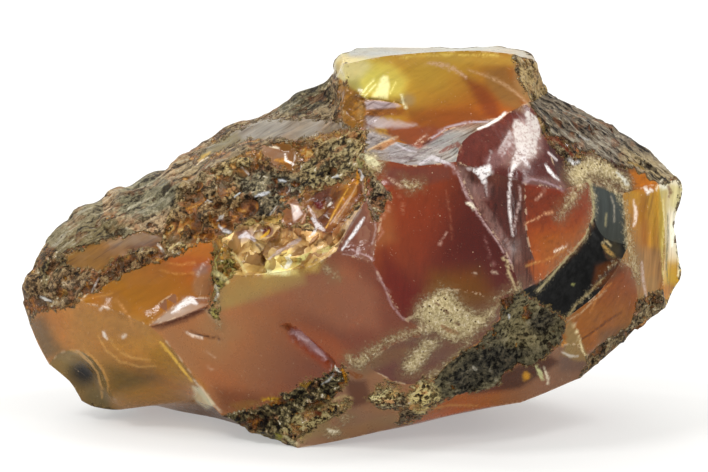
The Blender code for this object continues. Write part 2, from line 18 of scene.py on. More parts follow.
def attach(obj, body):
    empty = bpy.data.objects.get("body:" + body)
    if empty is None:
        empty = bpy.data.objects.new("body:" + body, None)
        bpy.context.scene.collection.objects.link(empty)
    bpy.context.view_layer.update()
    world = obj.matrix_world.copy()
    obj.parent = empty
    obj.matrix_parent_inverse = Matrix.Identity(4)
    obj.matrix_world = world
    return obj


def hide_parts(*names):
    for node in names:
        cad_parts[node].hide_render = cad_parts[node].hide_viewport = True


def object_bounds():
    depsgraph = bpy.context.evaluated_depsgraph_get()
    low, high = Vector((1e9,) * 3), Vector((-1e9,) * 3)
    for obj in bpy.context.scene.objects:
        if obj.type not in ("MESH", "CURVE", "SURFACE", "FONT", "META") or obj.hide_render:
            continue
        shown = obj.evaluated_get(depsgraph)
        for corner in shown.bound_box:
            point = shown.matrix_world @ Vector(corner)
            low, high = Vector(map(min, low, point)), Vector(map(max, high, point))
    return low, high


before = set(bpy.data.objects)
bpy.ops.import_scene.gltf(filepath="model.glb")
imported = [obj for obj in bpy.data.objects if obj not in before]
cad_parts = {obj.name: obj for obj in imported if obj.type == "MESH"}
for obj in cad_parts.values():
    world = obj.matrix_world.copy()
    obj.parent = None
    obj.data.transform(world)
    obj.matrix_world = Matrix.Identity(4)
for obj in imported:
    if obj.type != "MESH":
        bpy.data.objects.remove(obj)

cad_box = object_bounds()

MM = 0.001  # metres in a millimetre
PICTURE = (708, 472)  # width and height of the picture, in pixels
PIXELS_PER_MM = 7.0  # in the picture, at the lump

# ---------------------------------------------------------------------------------------------
# The cage that the solid was made from, repeated from its source
# ---------------------------------------------------------------------------------------------
LEAN = 12.0  # the front corners are drafted on a board that leans back from upright by this much
TOE_DEPTH = -16.0  # depth, along Y, of the front toe that the board stands on
CENTRING = Vector((0.362, -1.676, 0.0))  # how far the solid was moved to stand over the origin

# Corners on the front, seen square to the leaning board: (across, up the board, depth along Y).
FRONT = {
    # left tip and the lobe's underside
    "tip": (-47.4, 21.0, 3.0),
    "tip_low": (-46.8, 17.4, 3.0),
    "heel_a": (-45.8, 14.6, 3.0),
    "heel_b": (-44.0, 11.6, 2.0),
    "heel_c": (-41.6, 10.0, 2.0),
    "heel_d": (-39.2, 6.5, 1.0),
    "toe_a": (-36.6, 4.9, 1.0),
    "toe_b": (-33.6, 5.0, 2.0),
    "toe_c": (-27.7, 5.9, 0.0),
    "toe_d": (-23.0, 6.5, -1.0),
    # lower front edge, from the middle corner to the right
    "keel_a": (-18.9, 4.4, -11.0),
    "keel_b": (-16.3, 3.1, -12.0),
    "keel_c": (-13.1, 2.4, -14.0),
    "keel_d": (-10.6, 1.2, -15.0),
    "keel_e": (-8.0, 0.0, -16.0),
    "keel_f": (-2.0, 1.0, -14.5),
    "keel_g": (6.6, 3.0, -13.0),
    "keel_h": (12.3, 4.3, -12.0),
    "keel_i": (18.0, 5.6, -12.0),
    "keel_j": (23.7, 6.4, -12.0),
    "keel_k": (27.3, 7.7, -10.0),
    "keel_l": (32.3, 9.9, -8.0),
    "keel_m": (35.2, 11.9, -5.0),
    "keel_n": (38.7, 14.6, -3.0),
    "keel_o": (42.0, 17.4, -1.0),
    "keel_p": (44.2, 20.3, 0.0),
    # right end
    "nose_a": (46.3, 22.4, 3.0),
    "nose_b": (47.4, 25.0, 4.0),
    "nose_c": (46.4, 29.6, 4.0),
    "nose_d": (46.3, 32.7, 4.0),
    "nose_e": (47.5, 35.9, 4.0),
    "nose_f": (46.7, 38.3, 5.0),
    # right shoulder
    "shoulder_a": (44.0, 40.7, 7.0),
    "shoulder_b": (40.9, 43.4, 8.0),
    "shoulder_c": (35.9, 46.6, 9.0),
    "shoulder_d": (30.1, 49.5, 8.0),
    "shoulder_e": (27.7, 50.6, 7.0),
    # knob on top
    "knob_side_a": (26.8, 53.0, 5.0),
    "knob_side_b": (26.3, 55.3, 3.0),
    "knob_back_a": (25.7, 56.6, 5.0),
    "knob_back_b": (20.9, 57.4, 10.0),
    "knob_back_c": (10.9, 57.3, 11.5),
    "knob_back_d": (0.4, 57.3, 7.0),
    "knob_left_a": (-1.7, 56.1, 5.0),
    "knob_left_b": (-2.6, 53.4, 6.0),
    "knob_edge_a": (-1.4, 54.6, -2.0),
    "knob_edge_b": (3.7, 55.7, -4.0),
    "knob_edge_c": (10.9, 56.3, -4.0),
    "knob_edge_d": (18.0, 56.6, -3.0),
    "knob_edge_e": (23.0, 56.0, -2.0),
    "knob_waist_a": (-1.3, 51.0, -3.0),
    "knob_waist_b": (1.2, 49.6, -6.0),
    "knob_waist_c": (6.6, 49.3, -6.5),
    "knob_waist_d": (23.7, 52.0, -4.0),
    "knob_foot": (-1.6, 46.7, -5.0),
    # crest of the left slope
    "crest_a": (-5.1, 52.1, 9.0),
    "crest_b": (-9.9, 50.0, 11.0),
    "crest_c": (-15.6, 47.1, 12.0),
    "crest_d": (-21.3, 44.3, 12.0),
    "crest_e": (-24.3, 43.3, 11.0),
    "crest_f": (-26.0, 41.0, 10.0),
    "crest_g": (-31.3, 38.1, 10.0),
    "crest_h": (-36.6, 35.6, 9.0),
    "crest_i": (-41.7, 32.6, 8.0),
    "crest_j": (-44.9, 29.6, 6.0),
    "crest_k": (-46.7, 26.4, 4.0),
    # lobe, with its thumbprint hollow
    "lobe_a": (-46.0, 19.3, 0.0),
    "lobe_b": (-42.0, 19.7, -3.0),
    "lobe_c": (-38.0, 20.4, -5.5),
    "lobe_d": (-34.6, 19.9, -7.0),
    "lobe_e": (-29.2, 17.3, -9.0),
    "bowl_a": (-42.6, 13.6, -0.5),
    "bowl_b": (-38.9, 13.9, -3.5),
    "bowl_c": (-36.3, 11.3, -5.0),
    "bowl_d": (-35.1, 7.9, -4.5),
    "ridge_a": (-27.3, 16.0, -9.5),
    "ridge_b": (-24.6, 12.4, -10.5),
    "ridge_c": (-22.0, 8.9, -11.5),
    "ridge_d": (-20.1, 5.8, -11.0),
    # orange hollow beside the lobe, and its ledge
    "hollow_a": (-36.7, 22.4, -4.5),
    "hollow_b": (-32.0, 25.3, -6.0),
    "hollow_c": (-27.7, 26.6, -7.0),
    "hollow_d": (-23.4, 28.7, -8.0),
    "hollow_e": (-20.0, 29.6, -9.0),
    "hollow_f": (-20.0, 25.3, -9.0),
    "hollow_g": (-20.3, 21.3, -10.0),
    "ledge_a": (-24.0, 21.4, -9.0),
    "ledge_b": (-21.2, 19.8, -12.8),
    # window in the rind
    "window_a": (-42.3, 25.6, -1.0),
    "window_b": (-41.7, 27.3, -0.5),
    "window_c": (-36.3, 29.6, -1.0),
    "window_d": (-30.6, 30.7, -2.5),
    "window_e": (-27.3, 30.4, -4.0),
    "window_f": (-27.7, 28.7, -5.5),
    "window_g": (-33.7, 27.3, -4.0),
    "window_h": (-36.6, 25.0, -3.5),
    # rind slope
    "slope_a": (-36.0, 32.4, 1.0),
    "slope_b": (-25.6, 36.7, 0.0),
    "slope_c": (-15.6, 42.4, 0.0),
    "slope_d": (-7.7, 43.9, -2.0),
    "slope_e": (-1.9, 45.2, -4.0),
    # chipped amber under the slope
    "chip_a": (-18.9, 29.6, -11.0),
    "chip_b": (-16.3, 32.1, -10.0),
    "chip_c": (-10.6, 31.9, -12.0),
    "chip_d": (-3.4, 30.7, -16.0),
    "step_a": (-19.4, 24.4, -13.5),
    "step_b": (-19.6, 20.6, -13.2),
    # pink face
    "pink_a": (-12.0, 24.7, -16.5),
    "pink_b": (-5.6, 25.9, -19.0),
    "pink_c": (4.6, 22.3, -23.0),
    "pink_d": (7.1, 18.4, -24.0),
    "pink_e": (10.1, 17.1, -24.2),
    "pink_f": (5.9, 14.9, -23.0),
    "pink_g": (1.1, 12.1, -20.8),
    "pink_h": (-1.6, 11.6, -19.8),
    # bevel and red face
    "bevel_a": (1.6, 40.7, -13.0),
    "bevel_b": (2.6, 37.4, -14.8),
    "bevel_c": (1.4, 35.0, -16.0),
    "bevel_d": (-2.5, 28.0, -19.0),
    "bevel_e": (4.4, 36.5, -16.3),
    "bevel_f": (3.4, 30.3, -19.3),
    "bevel_g": (2.6, 26.4, -21.5),
    "spine_a": (14.4, 40.6, -15.0),
    "spine_b": (16.0, 36.4, -17.0),
    "spine_c": (17.7, 33.3, -18.5),
    "spine_d": (21.3, 28.1, -21.0),
    "spine_e": (23.1, 23.9, -22.0),
    # bands of rind low on the front
    "band_a": (-7.0, 9.1, -17.5),
    "band_b": (-12.3, 6.4, -15.0),
    "band_c": (-16.3, 4.9, -12.8),
    "band_d": (-0.6, 9.9, -18.8),
    "band_e": (-3.4, 6.7, -17.0),
    "band_f": (-9.1, 3.1, -15.6),
    "low_a": (7.0, 9.0, -19.5),
    "patch_a": (8.7, 18.4, -24.2),
    "patch_b": (10.9, 22.4, -23.6),
    "patch_c": (15.1, 22.7, -23.2),
    "patch_d": (20.9, 21.0, -22.2),
    # dark rotten hollow low on the right
    "dark_a": (23.4, 22.3, -21.6),
    "dark_b": (20.9, 18.4, -21.5),
    "dark_c": (16.6, 14.6, -21.0),
    "dark_d": (11.6, 9.9, -18.8),
    "dark_e": (10.1, 6.7, -17.0),
    "dark_f": (14.4, 7.4, -15.2),
    "dark_g": (20.9, 9.1, -14.2),
    "dark_h": (26.6, 12.4, -12.5),
    "dark_i": (29.4, 14.6, -12.0),
    "dark_j": (30.1, 18.4, -12.8),
    "dark_k": (26.6, 20.3, -15.5),
    # ledge under the knob, and the faces right of the spine
    "shelf_a": (1.6, 45.3, -7.5),
    "shelf_b": (5.9, 43.4, -9.5),
    "shelf_c": (9.0, 42.9, -10.5),
    "shelf_d": (12.3, 44.9, -9.5),
    "shelf_e": (16.6, 46.3, -9.0),
    "shelf_f": (21.2, 46.9, -9.0),
    "lip_a": (3.0, 41.3, -13.0),
    "lip_b": (8.0, 39.9, -15.2),
    "lip_c": (15.1, 43.7, -13.2),
    "lip_d": (18.0, 45.4, -11.6),
    "brow_a": (22.0, 47.9, -8.6),
    "brow_b": (25.1, 49.1, -6.0),
    "brow_c": (26.8, 46.0, -7.0),
    "brow_d": (28.0, 41.0, -10.5),
    "ember_a": (24.1, 37.7, -16.3),
    "ember_b": (29.4, 36.7, -12.8),
    "ember_c": (33.4, 37.9, -8.3),
    "ember_d": (34.0, 33.1, -9.3),
    "ember_e": (32.7, 29.3, -11.8),
    "ember_f": (29.4, 26.4, -14.8),
    "ember_g": (26.6, 23.9, -18.2),
    "ember_h": (24.3, 29.6, -19.4),
    "eave_a": (30.1, 42.4, -7.0),
    "eave_b": (35.1, 41.0, -4.5),
    "eave_c": (40.1, 39.9, -1.5),
    "eave_d": (43.7, 37.7, 0.0),
    # right-hand faces
    "cheek_a": (38.3, 36.2, -4.3),
    "cheek_b": (39.2, 28.9, -5.0),
    "cheek_c": (35.1, 29.6, -8.2),
    "cheek_d": (38.0, 26.4, -7.0),
    "cheek_e": (40.0, 26.8, -4.8),
    "cheek_f": (40.6, 21.0, -4.2),
    "cheek_g": (40.3, 17.9, -3.8),
    "cheek_h": (35.1, 22.1, -9.6),
    "cheek_i": (32.0, 15.3, -10.8),
    "cheek_j": (33.4, 12.9, -8.8),
    "end_a": (44.7, 31.0, 0.5),
    "end_b": (44.4, 22.4, -0.2),
}

# Corners of the back and the underside: (x, y, z).
BACK = {
    "nape_a": (-3.5, 13.5, 46.0),
    "nape_b": (7.0, 18.0, 42.5),
    "nape_c": (24.0, 14.0, 43.5),
    "back_a": (-31.0, 17.5, 29.0),
    "back_b": (-16.0, 20.0, 36.0),
    "back_c": (-2.0, 21.5, 39.0),
    "back_d": (14.0, 21.0, 38.5),
    "back_e": (30.0, 17.5, 36.0),
    "back_f": (41.0, 12.5, 32.0),
    "waist_a": (-44.0, 10.0, 16.0),
    "waist_b": (-34.0, 19.5, 18.0),
    "waist_c": (2.0, 26.8, 24.0),
    "waist_d": (19.0, 25.5, 23.5),
    "waist_e": (34.5, 18.5, 22.5),
    "waist_f": (44.0, 10.5, 21.0),
    "scar_a": (-24.5, 21.0, 29.5),
    "scar_b": (-15.0, 22.5, 32.5),
    "scar_c": (-6.0, 24.0, 31.0),
    "scar_d": (-3.5, 26.0, 25.5),
    "scar_e": (-9.0, 26.8, 18.5),
    "scar_f": (-18.0, 25.2, 16.0),
    "scar_g": (-26.5, 22.5, 21.0),
    "pane_a": (5.0, 23.2, 35.5),
    "pane_b": (1.2, 25.6, 29.5),
    "pane_c": (10.0, 27.2, 21.0),
    "pane_d": (27.0, 22.6, 20.0),
    "pane_e": (23.0, 20.6, 34.8),
    "hem_a": (-39.0, 10.5, 6.5),
    "hem_b": (-28.0, 20.0, 6.5),
    "hem_c": (-12.0, 25.0, 8.0),
    "hem_d": (6.0, 25.0, 7.5),
    "hem_e": (22.0, 20.5, 8.5),
    "hem_f": (34.5, 12.0, 12.5),
    "base_a": (0.0, -9.0, 0.0),
    "base_b": (8.0, 0.0, 0.0),
    "base_c": (17.5, 11.5, 0.0),
    "base_d": (12.0, 18.5, 0.0),
    "base_e": (-6.0, 21.0, 0.0),
    "base_f": (-22.0, 18.0, 0.0),
    "base_g": (-30.5, 12.5, 0.0),
    "base_h": (-26.0, 7.0, 0.0),
    "base_i": (-20.0, 2.5, 0.0),
    "base_j": (-15.5, -3.0, 0.0),
    "base_k": (-12.0, -9.5, 0.0),
}

# Faces: name -> (surface, bow, corners). The surface is glass, lumpy rind, furrowed bark or the base it
# stands on. The bow is how far the face's middle stands out from its corners, in millimetres, and is
# negative in a hollow face.
FACES = {
    "lobe_face": ("glass", 0.5, "lobe_a lobe_b lobe_c lobe_d lobe_e ridge_a ridge_b ridge_c toe_d toe_c "
                  "toe_b bowl_d bowl_c bowl_b bowl_a heel_b heel_a tip_low"),
    "thumbprint": ("glass", -1.1, "heel_b bowl_a bowl_b bowl_c bowl_d toe_b toe_a heel_d heel_c"),
    "flake": ("glass", 0.0, "ridge_c ridge_d toe_d"),
    "orange_hollow": ("glass", -1.3, "hollow_a hollow_b hollow_c hollow_d hollow_e hollow_f hollow_g "
                      "ledge_a lobe_e lobe_d lobe_c"),
    "ledge": ("glass", -0.4, "lobe_e ledge_a hollow_g ledge_b"),
    "step_wall": ("glass", -0.3, "hollow_e chip_a step_a step_b ledge_b hollow_g hollow_f"),
    "pink_face": ("glass", 0.5, "lobe_e ledge_b step_b step_a pink_a pink_b bevel_d bevel_g pink_c pink_d "
                  "pink_e pink_f pink_g pink_h band_a band_b band_c keel_a ridge_d ridge_c ridge_b ridge_a"),
    "chips": ("glass", -0.8, "chip_a chip_b chip_c chip_d bevel_c bevel_d pink_b pink_a step_a"),
    "bevel": ("glass", -0.4, "bevel_c bevel_b bevel_e bevel_f bevel_g bevel_d"),
    "red_face": ("glass", 0.5, "bevel_a lip_a lip_b spine_a spine_b spine_c spine_d spine_e dark_a patch_d "
                 "patch_c patch_b patch_a pink_d pink_c bevel_g bevel_f bevel_e bevel_b"),
    "pale_patch": ("rind", 0.3, "patch_a patch_b patch_c patch_d dark_b dark_c dark_d low_a pink_g pink_f "
                   "pink_e pink_d"),
    "low_face": ("glass", 0.4, "pink_g low_a dark_d dark_e keel_g keel_f keel_e keel_d band_f band_e band_d"
                 " pink_h"),
    "band": ("rind", -0.3, "keel_a band_c band_b band_a pink_h band_d band_e band_f keel_d keel_c keel_b"),
    "rotten_hollow": ("rind", -1.5, "dark_a dark_k dark_j dark_i dark_h dark_g dark_f dark_e dark_d dark_c "
                      "dark_b patch_d"),
    "keel_face": ("glass", 0.4, "keel_g dark_e dark_f dark_g dark_h dark_i cheek_i cheek_j keel_l keel_k "
                  "keel_j keel_i keel_h"),
    "spine_face": ("glass", -0.4, "spine_a ember_a ember_h ember_g dark_a spine_e spine_d spine_c spine_b"),
    "ember_face": ("glass", 0.5, "ember_a ember_b ember_c ember_d ember_e ember_f ember_g ember_h"),
    "glare_face": ("glass", 0.8, "shelf_f brow_a brow_b brow_c brow_d ember_b ember_a spine_a lip_c lip_d"),
    "shelf": ("glass", -0.5, "shelf_a shelf_b shelf_c shelf_d shelf_e shelf_f lip_d lip_c spine_a lip_b "
              "lip_a bevel_a"),
    "knob_front": ("glass", -1.0, "knob_edge_a knob_edge_b knob_edge_c knob_edge_d knob_edge_e knob_waist_d"
                   " brow_b brow_a shelf_f shelf_e shelf_d shelf_c shelf_b shelf_a knob_waist_c "
                   "knob_waist_b knob_waist_a"),
    "knob_notch": ("glass", -0.3, "knob_waist_a knob_waist_b knob_waist_c shelf_a knob_foot"),
    "knob_top": ("glass", -0.3, "knob_left_a knob_edge_a knob_edge_b knob_edge_c knob_edge_d knob_edge_e "
                 "knob_side_b knob_back_a knob_back_b knob_back_c knob_back_d"),
    "knob_side": ("bark", 0.0, "knob_edge_e knob_side_b knob_side_a shoulder_e brow_b knob_waist_d"),
    "knob_flank": ("rind", 0.2, "knob_left_a knob_edge_a knob_waist_a knob_foot slope_e crest_a "
                   "knob_left_b"),
    "shoulder": ("bark", 0.6, "brow_b brow_c eave_a eave_b eave_c eave_d nose_f shoulder_a shoulder_b "
                 "shoulder_c shoulder_d shoulder_e"),
    "brow": ("glass", -0.5, "brow_c brow_d ember_b ember_c cheek_a eave_d eave_c eave_b eave_a"),
    "coal_upper": ("glass", 0.2, "ember_c cheek_a cheek_b cheek_c ember_d"),
    "coal_lower": ("glass", -0.6, "ember_d cheek_c cheek_b cheek_d cheek_h dark_j dark_k dark_a ember_g "
                   "ember_f ember_e"),
    "amber_cheek": ("glass", 0.5, "cheek_d cheek_e cheek_f cheek_g cheek_j cheek_i dark_i dark_j cheek_h"),
    "right_end": ("glass", -0.5, "cheek_a eave_d end_a end_b cheek_f cheek_e cheek_d cheek_b"),
    "thin_edge": ("glass", -0.5, "eave_d nose_f nose_e nose_d nose_c nose_b nose_a keel_p end_b end_a"),
    "cheek_rind": ("rind", 0.0, "cheek_f end_b keel_p keel_o keel_n keel_m keel_l cheek_j cheek_g"),
    "window": ("glass", -0.2, "window_a window_b window_c window_d window_e window_f window_g window_h"),
    "tip_rind": ("rind", 0.3, "lobe_a tip_low tip crest_k crest_j window_b window_a window_h hollow_a "
                 "lobe_c lobe_b"),
    "window_sill": ("rind", 0.2, "window_h window_g window_f hollow_d hollow_c hollow_b hollow_a"),
    "slope_left": ("rind", 0.3, "crest_j crest_i crest_h slope_a window_d window_c window_b"),
    "slope_middle": ("rind", 0.4, "crest_h crest_g crest_f slope_b window_e window_d slope_a"),
    "slope_front": ("rind", -0.6, "slope_b slope_c slope_d slope_e knob_foot shelf_a bevel_a bevel_b "
                    "bevel_c chip_d chip_c chip_b chip_a hollow_e hollow_d window_f window_e"),
    "slope_top": ("rind", 0.3, "slope_b crest_f crest_e crest_d crest_c crest_b crest_a slope_e slope_d "
                  "slope_c"),
    # back
    "nape_left": ("rind", 0.3, "knob_left_a knob_back_d nape_a crest_a knob_left_b"),
    "nape_chip": ("glass", -0.8, "knob_back_d knob_back_c nape_b nape_a"),
    "nape": ("bark", 0.3, "knob_back_c knob_back_b knob_back_a knob_side_b knob_side_a shoulder_e nape_c "
             "nape_b"),
    "back_left": ("rind", 0.8, "crest_b crest_c crest_d crest_e crest_f crest_g crest_h crest_i back_a "
                  "back_b"),
    "back_top": ("rind", 0.6, "crest_a nape_a nape_b nape_c back_d back_c back_b crest_b"),
    "back_right": ("bark", 0.8, "shoulder_e shoulder_d shoulder_c shoulder_b shoulder_a back_f back_e "
                   "pane_e back_d nape_c"),
    "far_left": ("rind", 0.6, "crest_i crest_j crest_k tip waist_a waist_b back_a"),
    "far_upper": ("rind", 0.3, "back_a back_b back_c scar_c scar_b scar_a"),
    "far_side": ("rind", 0.2, "back_a scar_a scar_g waist_b"),
    "far_scar": ("glass", -1.2, "scar_a scar_b scar_c scar_d scar_e scar_f scar_g"),
    "far_spine": ("rind", 0.3, "scar_c back_c back_d pane_a pane_b waist_c scar_e scar_d"),
    "far_pane": ("glass", -1.0, "back_d pane_a pane_b waist_c pane_c waist_d pane_d waist_e back_e "
                 "pane_e"),
    "far_right": ("rind", 0.4, "back_f back_e waist_e waist_f nose_b nose_c nose_d nose_e nose_f "
                  "shoulder_a"),
    "heel": ("glass", 0.4, "tip tip_low heel_a heel_b heel_c heel_d hem_a waist_a"),
    "hem_left": ("rind", 0.6, "waist_a hem_a hem_b hem_c scar_f scar_g waist_b"),
    "hem_middle": ("rind", 0.8, "scar_f hem_c hem_d waist_c scar_e"),
    "hem_right": ("glass", -0.7, "waist_c hem_d hem_e hem_f waist_e pane_d waist_d pane_c"),
    "hem_end": ("rind", 0.3, "waist_f waist_e hem_f keel_n keel_o keel_p nose_a nose_b"),
    # underside
    "sole": ("base", 0.0, "keel_e base_a base_b base_c base_d base_e base_f base_g base_h base_i base_j "
             "base_k"),
    "under_back": ("rind", 0.3, "hem_b hem_c hem_d hem_e base_c base_d base_e base_f"),
    "under_left": ("rind", 0.2, "hem_a hem_b base_f base_g toe_b toe_a heel_d"),
    "under_lobe": ("glass", -0.4, "toe_b toe_c toe_d ridge_d keel_a keel_b base_j base_i base_h base_g"),
    "under_corner": ("rind", 0.0, "keel_b keel_c keel_d keel_e base_k base_j"),
    "under_right": ("glass", 0.3, "keel_e keel_f keel_g keel_h keel_i keel_j base_c base_b base_a"),
    "under_far": ("glass", 0.4, "keel_j keel_k keel_l keel_m keel_n hem_f hem_e base_c"),
}

SURFACES = [surface for surface, _, _ in FACES.values()]
NUMBERS = {name: number for number, name in enumerate(FACES)}

# ---------------------------------------------------------------------------------------------
# Camera, floor and light
# ---------------------------------------------------------------------------------------------
CAMERA_DISTANCE = 1000.0  # millimetres from the plane that the picture is measured in
CAMERA_LENS = 356.0
SENSOR_WIDTH = 36.0
SIGHT = Vector((0, math.cos(math.radians(LEAN)), -math.sin(math.radians(LEAN))))  # where it looks
SIGHT_UP = Vector((0, math.sin(math.radians(LEAN)), math.cos(math.radians(LEAN))))
AIM = Vector((0, TOE_DEPTH, 0)) + CENTRING + SIGHT_UP * 30.14 + SIGHT * 5.0
EYE = AIM - SIGHT * CAMERA_DISTANCE


def hex_colour(code):
    """Linear RGB from a written sRGB colour."""
    levels = [int(code[place:place + 2], 16) / 255 for place in (0, 2, 4)]
    return tuple(level / 12.92 if level < 0.04045 else ((level + 0.055) / 1.055) ** 2.4 for level in levels)


def link(obj):
    bpy.context.scene.collection.objects.link(obj)
    return obj


def add_camera():
    camera = link(bpy.data.objects.new("camera", bpy.data.cameras.new("camera")))
    camera.data.sensor_width = SENSOR_WIDTH
    camera.data.lens = CAMERA_LENS
    camera.data.clip_end = 20
    camera.location = EYE * MM
    camera.rotation_euler = SIGHT.to_track_quat("-Z", "Y").to_euler()
    bpy.context.scene.camera = camera


def add_floor():
    mesh = bpy.data.meshes.new("floor")
    half = 4.0
    mesh.from_pydata([(-half, -half, 0), (half, -half, 0), (half, half, 0), (-half, half, 0)], [], [(0, 1, 2, 3)])
    floor = link(bpy.data.objects.new("floor", mesh))
    material = bpy.data.materials.new("floor")
    material.use_nodes = True
    shader = material.node_tree.nodes["Principled BSDF"]
    shader.inputs["Base Color"].default_value = (*FLOOR_COLOUR, 1)
    shader.inputs["Emission Color"].default_value = (1, 1, 1, 1)
    shader.inputs["Emission Strength"].default_value = FLOOR_GLOW
    shader.inputs["Roughness"].default_value = 0.7
    shader.inputs["Specular IOR Level"].default_value = 0.2
    mesh.materials.append(material)


def add_light(name, azimuth, elevation, distance, width, height, power):
    """A softbox seen from the lump at this azimuth, 0 behind the camera and 90 to its right."""
    turn, rise = math.radians(azimuth), math.radians(elevation)
    out = Vector((math.sin(turn) * math.cos(rise), -math.cos(turn) * math.cos(rise), math.sin(rise)))
    light = link(bpy.data.objects.new(name, bpy.data.lights.new(name, "AREA")))
    light.data.shape = "RECTANGLE"
    light.data.size = width
    light.data.size_y = height
    light.data.energy = power
    light.location = LAMP_AIM + out * distance
    light.rotation_euler = (-out).to_track_quat("-Z", "Y").to_euler()


def add_world():
    world = bpy.data.worlds.new("studio")
    world.use_nodes = True
    background = world.node_tree.nodes["Background"]
    background.inputs["Color"].default_value = (*WORLD_COLOUR, 1)
    background.inputs["Strength"].default_value = WORLD_STRENGTH
    bpy.context.scene.world = world


FLOOR_COLOUR = (0.46, 0.46, 0.455)
FLOOR_GLOW = 0.36  # the table is lit a little from below, which softens the shadow
WORLD_COLOUR = (1.0, 0.985, 0.94)
WORLD_STRENGTH = 0.92
LAMP_AIM = Vector((0, 0, 0.027))
LIGHTS = [  # name, azimuth, elevation, distance, width, height (metres), power (watts)
    ("key", -66, 56, 1.0, 0.22, 0.22, 3.6),
    ("fill", 57, 35, 1.2, 0.35, 0.35, 2.6),
    ("panel", -150, 55, 1.2, 0.9, 0.9, 4.0),
    ("edge", 92, 53, 1.0, 0.22, 0.22, 2.8),
    ("side", -108, 50, 1.0, 0.13, 0.13, 1.0),
]

# ---------------------------------------------------------------------------------------------
# The fine mesh
# ---------------------------------------------------------------------------------------------
HIDDEN = {  # faces that the picture doesn't show, which need fewer triangles
    "under_back", "hem_left", "hem_middle", "hem_end", "hem_right", "back_right", "back_top", "back_left",
    "far_left", "far_right", "far_spine", "far_upper", "far_side", "far_pane", "far_scar", "nape", "nape_left",
    "under_left", "under_far", "sole", "heel",
}
FINEST = {  # and the rough ones in front, which need more
    "slope_front", "slope_middle", "slope_left", "tip_rind", "window_sill", "knob_flank", "knob_side", "band",
    "cheek_rind", "chips", "bevel", "shelf", "knob_notch", "rotten_hollow",
}
REACH = 3.5  # how far from the cage the solid's surface may lie
TILT_COST = 3.0  # millimetres of distance that a wholly different facing counts for
GLASS_ROUNDS = 14  # smoothing rounds inside the glassy faces
ROUGH_ROUNDS = 4  # and over the rough ones
RIDGE_ROUNDS = 3
RIM_ROUNDS = 9  # how many edges far the distance to a ridge is measured
STROKE_MARGIN = 1.6  # pixels beside a stroke that are split with it
SHORTEST_SPLIT = 0.2  # an edge no longer than this is fine enough for a stroke


def board_point(across, up, depth):
    lean = math.radians(LEAN)
    height = (up - (depth - TOE_DEPTH) * math.sin(lean)) / math.cos(lean)
    return Vector((across, depth, height))


def cage_tree():
    """The cage as a search tree, and the face number of each of its triangles."""
    bm = bmesh.new()
    layer = bm.faces.layers.int.new("number")
    corners = {name: bm.verts.new(board_point(*place) + CENTRING) for name, place in FRONT.items()}
    corners.update({name: bm.verts.new(Vector(place) + CENTRING) for name, place in BACK.items()})
    for number, (_, _, names) in enumerate(FACES.values()):
        bm.faces.new([corners[name] for name in names.split()])[layer] = number
    bmesh.ops.recalc_face_normals(bm, faces=bm.faces)
    bmesh.ops.triangulate(bm, faces=bm.faces)
    tree = BVHTree.FromBMesh(bm)
    owners = [face[layer] for face in bm.faces]
    bm.free()
    return tree, owners


def solid_copy():
    """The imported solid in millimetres, welded, each triangle numbered by its cage face."""
    bm = bmesh.new()
    bm.from_mesh(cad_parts["raw_amber"].data)
    bmesh.ops.scale(bm, vec=(1 / MM,) * 3, verts=bm.verts)
    bmesh.ops.remove_doubles(bm, verts=bm.verts, dist=0.001)
    bm.normal_update()
    tree, owners = cage_tree()
    layer = bm.faces.layers.int.new("number")
    for face in bm.faces:
        hits = tree.find_nearest_range(face.calc_center_median(), REACH)
        nearest = min(hits, key=lambda hit: hit[3] + TILT_COST * (1 - hit[1].dot(face.normal)))
        face[layer] = owners[nearest[2]]
    for _ in range(3):
        drop_islands(bm, layer)
    return bm


def drop_islands(bm, layer):
    """A triangle that two of its neighbours outvote takes their number."""
    changes = []
    for face in bm.faces:
        around = [other[layer] for edge in face.edges for other in edge.link_faces if other != face]
        vote = max(around, key=around.count)
        if vote != face[layer] and around.count(vote) >= 2:
            changes.append((face, vote))
    for face, vote in changes:
        face[layer] = vote


def edges_of(bm, names):
    """The edges of the triangles of these faces."""
    layer = bm.faces.layers.int["number"]
    wanted = {NUMBERS[name] for name in names}
    return list({edge for face in bm.faces if face[layer] in wanted for edge in face.edges})


def edges_by_strokes(bm):
    """The edges that lie in or beside a stroke."""
    bm.normal_update()
    places = np.array([vert.co for vert in bm.verts])
    points = to_picture(places)
    front = np.array([vert.normal for vert in bm.verts]) @ np.array(SIGHT) < 0.05
    beside = np.zeros(len(points), bool)
    for _, _, line in STROKES.values():
        near = near_line(points, line)
        beside[near] |= inside_line(points[near], line) > -STROKE_MARGIN
    beside &= front
    bm.verts.index_update()
    return [edge for edge in bm.edges if all(beside[vert.index] for vert in edge.verts)
            and edge.calc_length() > SHORTEST_SPLIT]


def split(bm, edges):
    bmesh.ops.subdivide_edges(bm, edges=edges, cuts=1, use_grid_fill=True)
    bmesh.ops.triangulate(bm, faces=[face for face in bm.faces if len(face.verts) > 3])


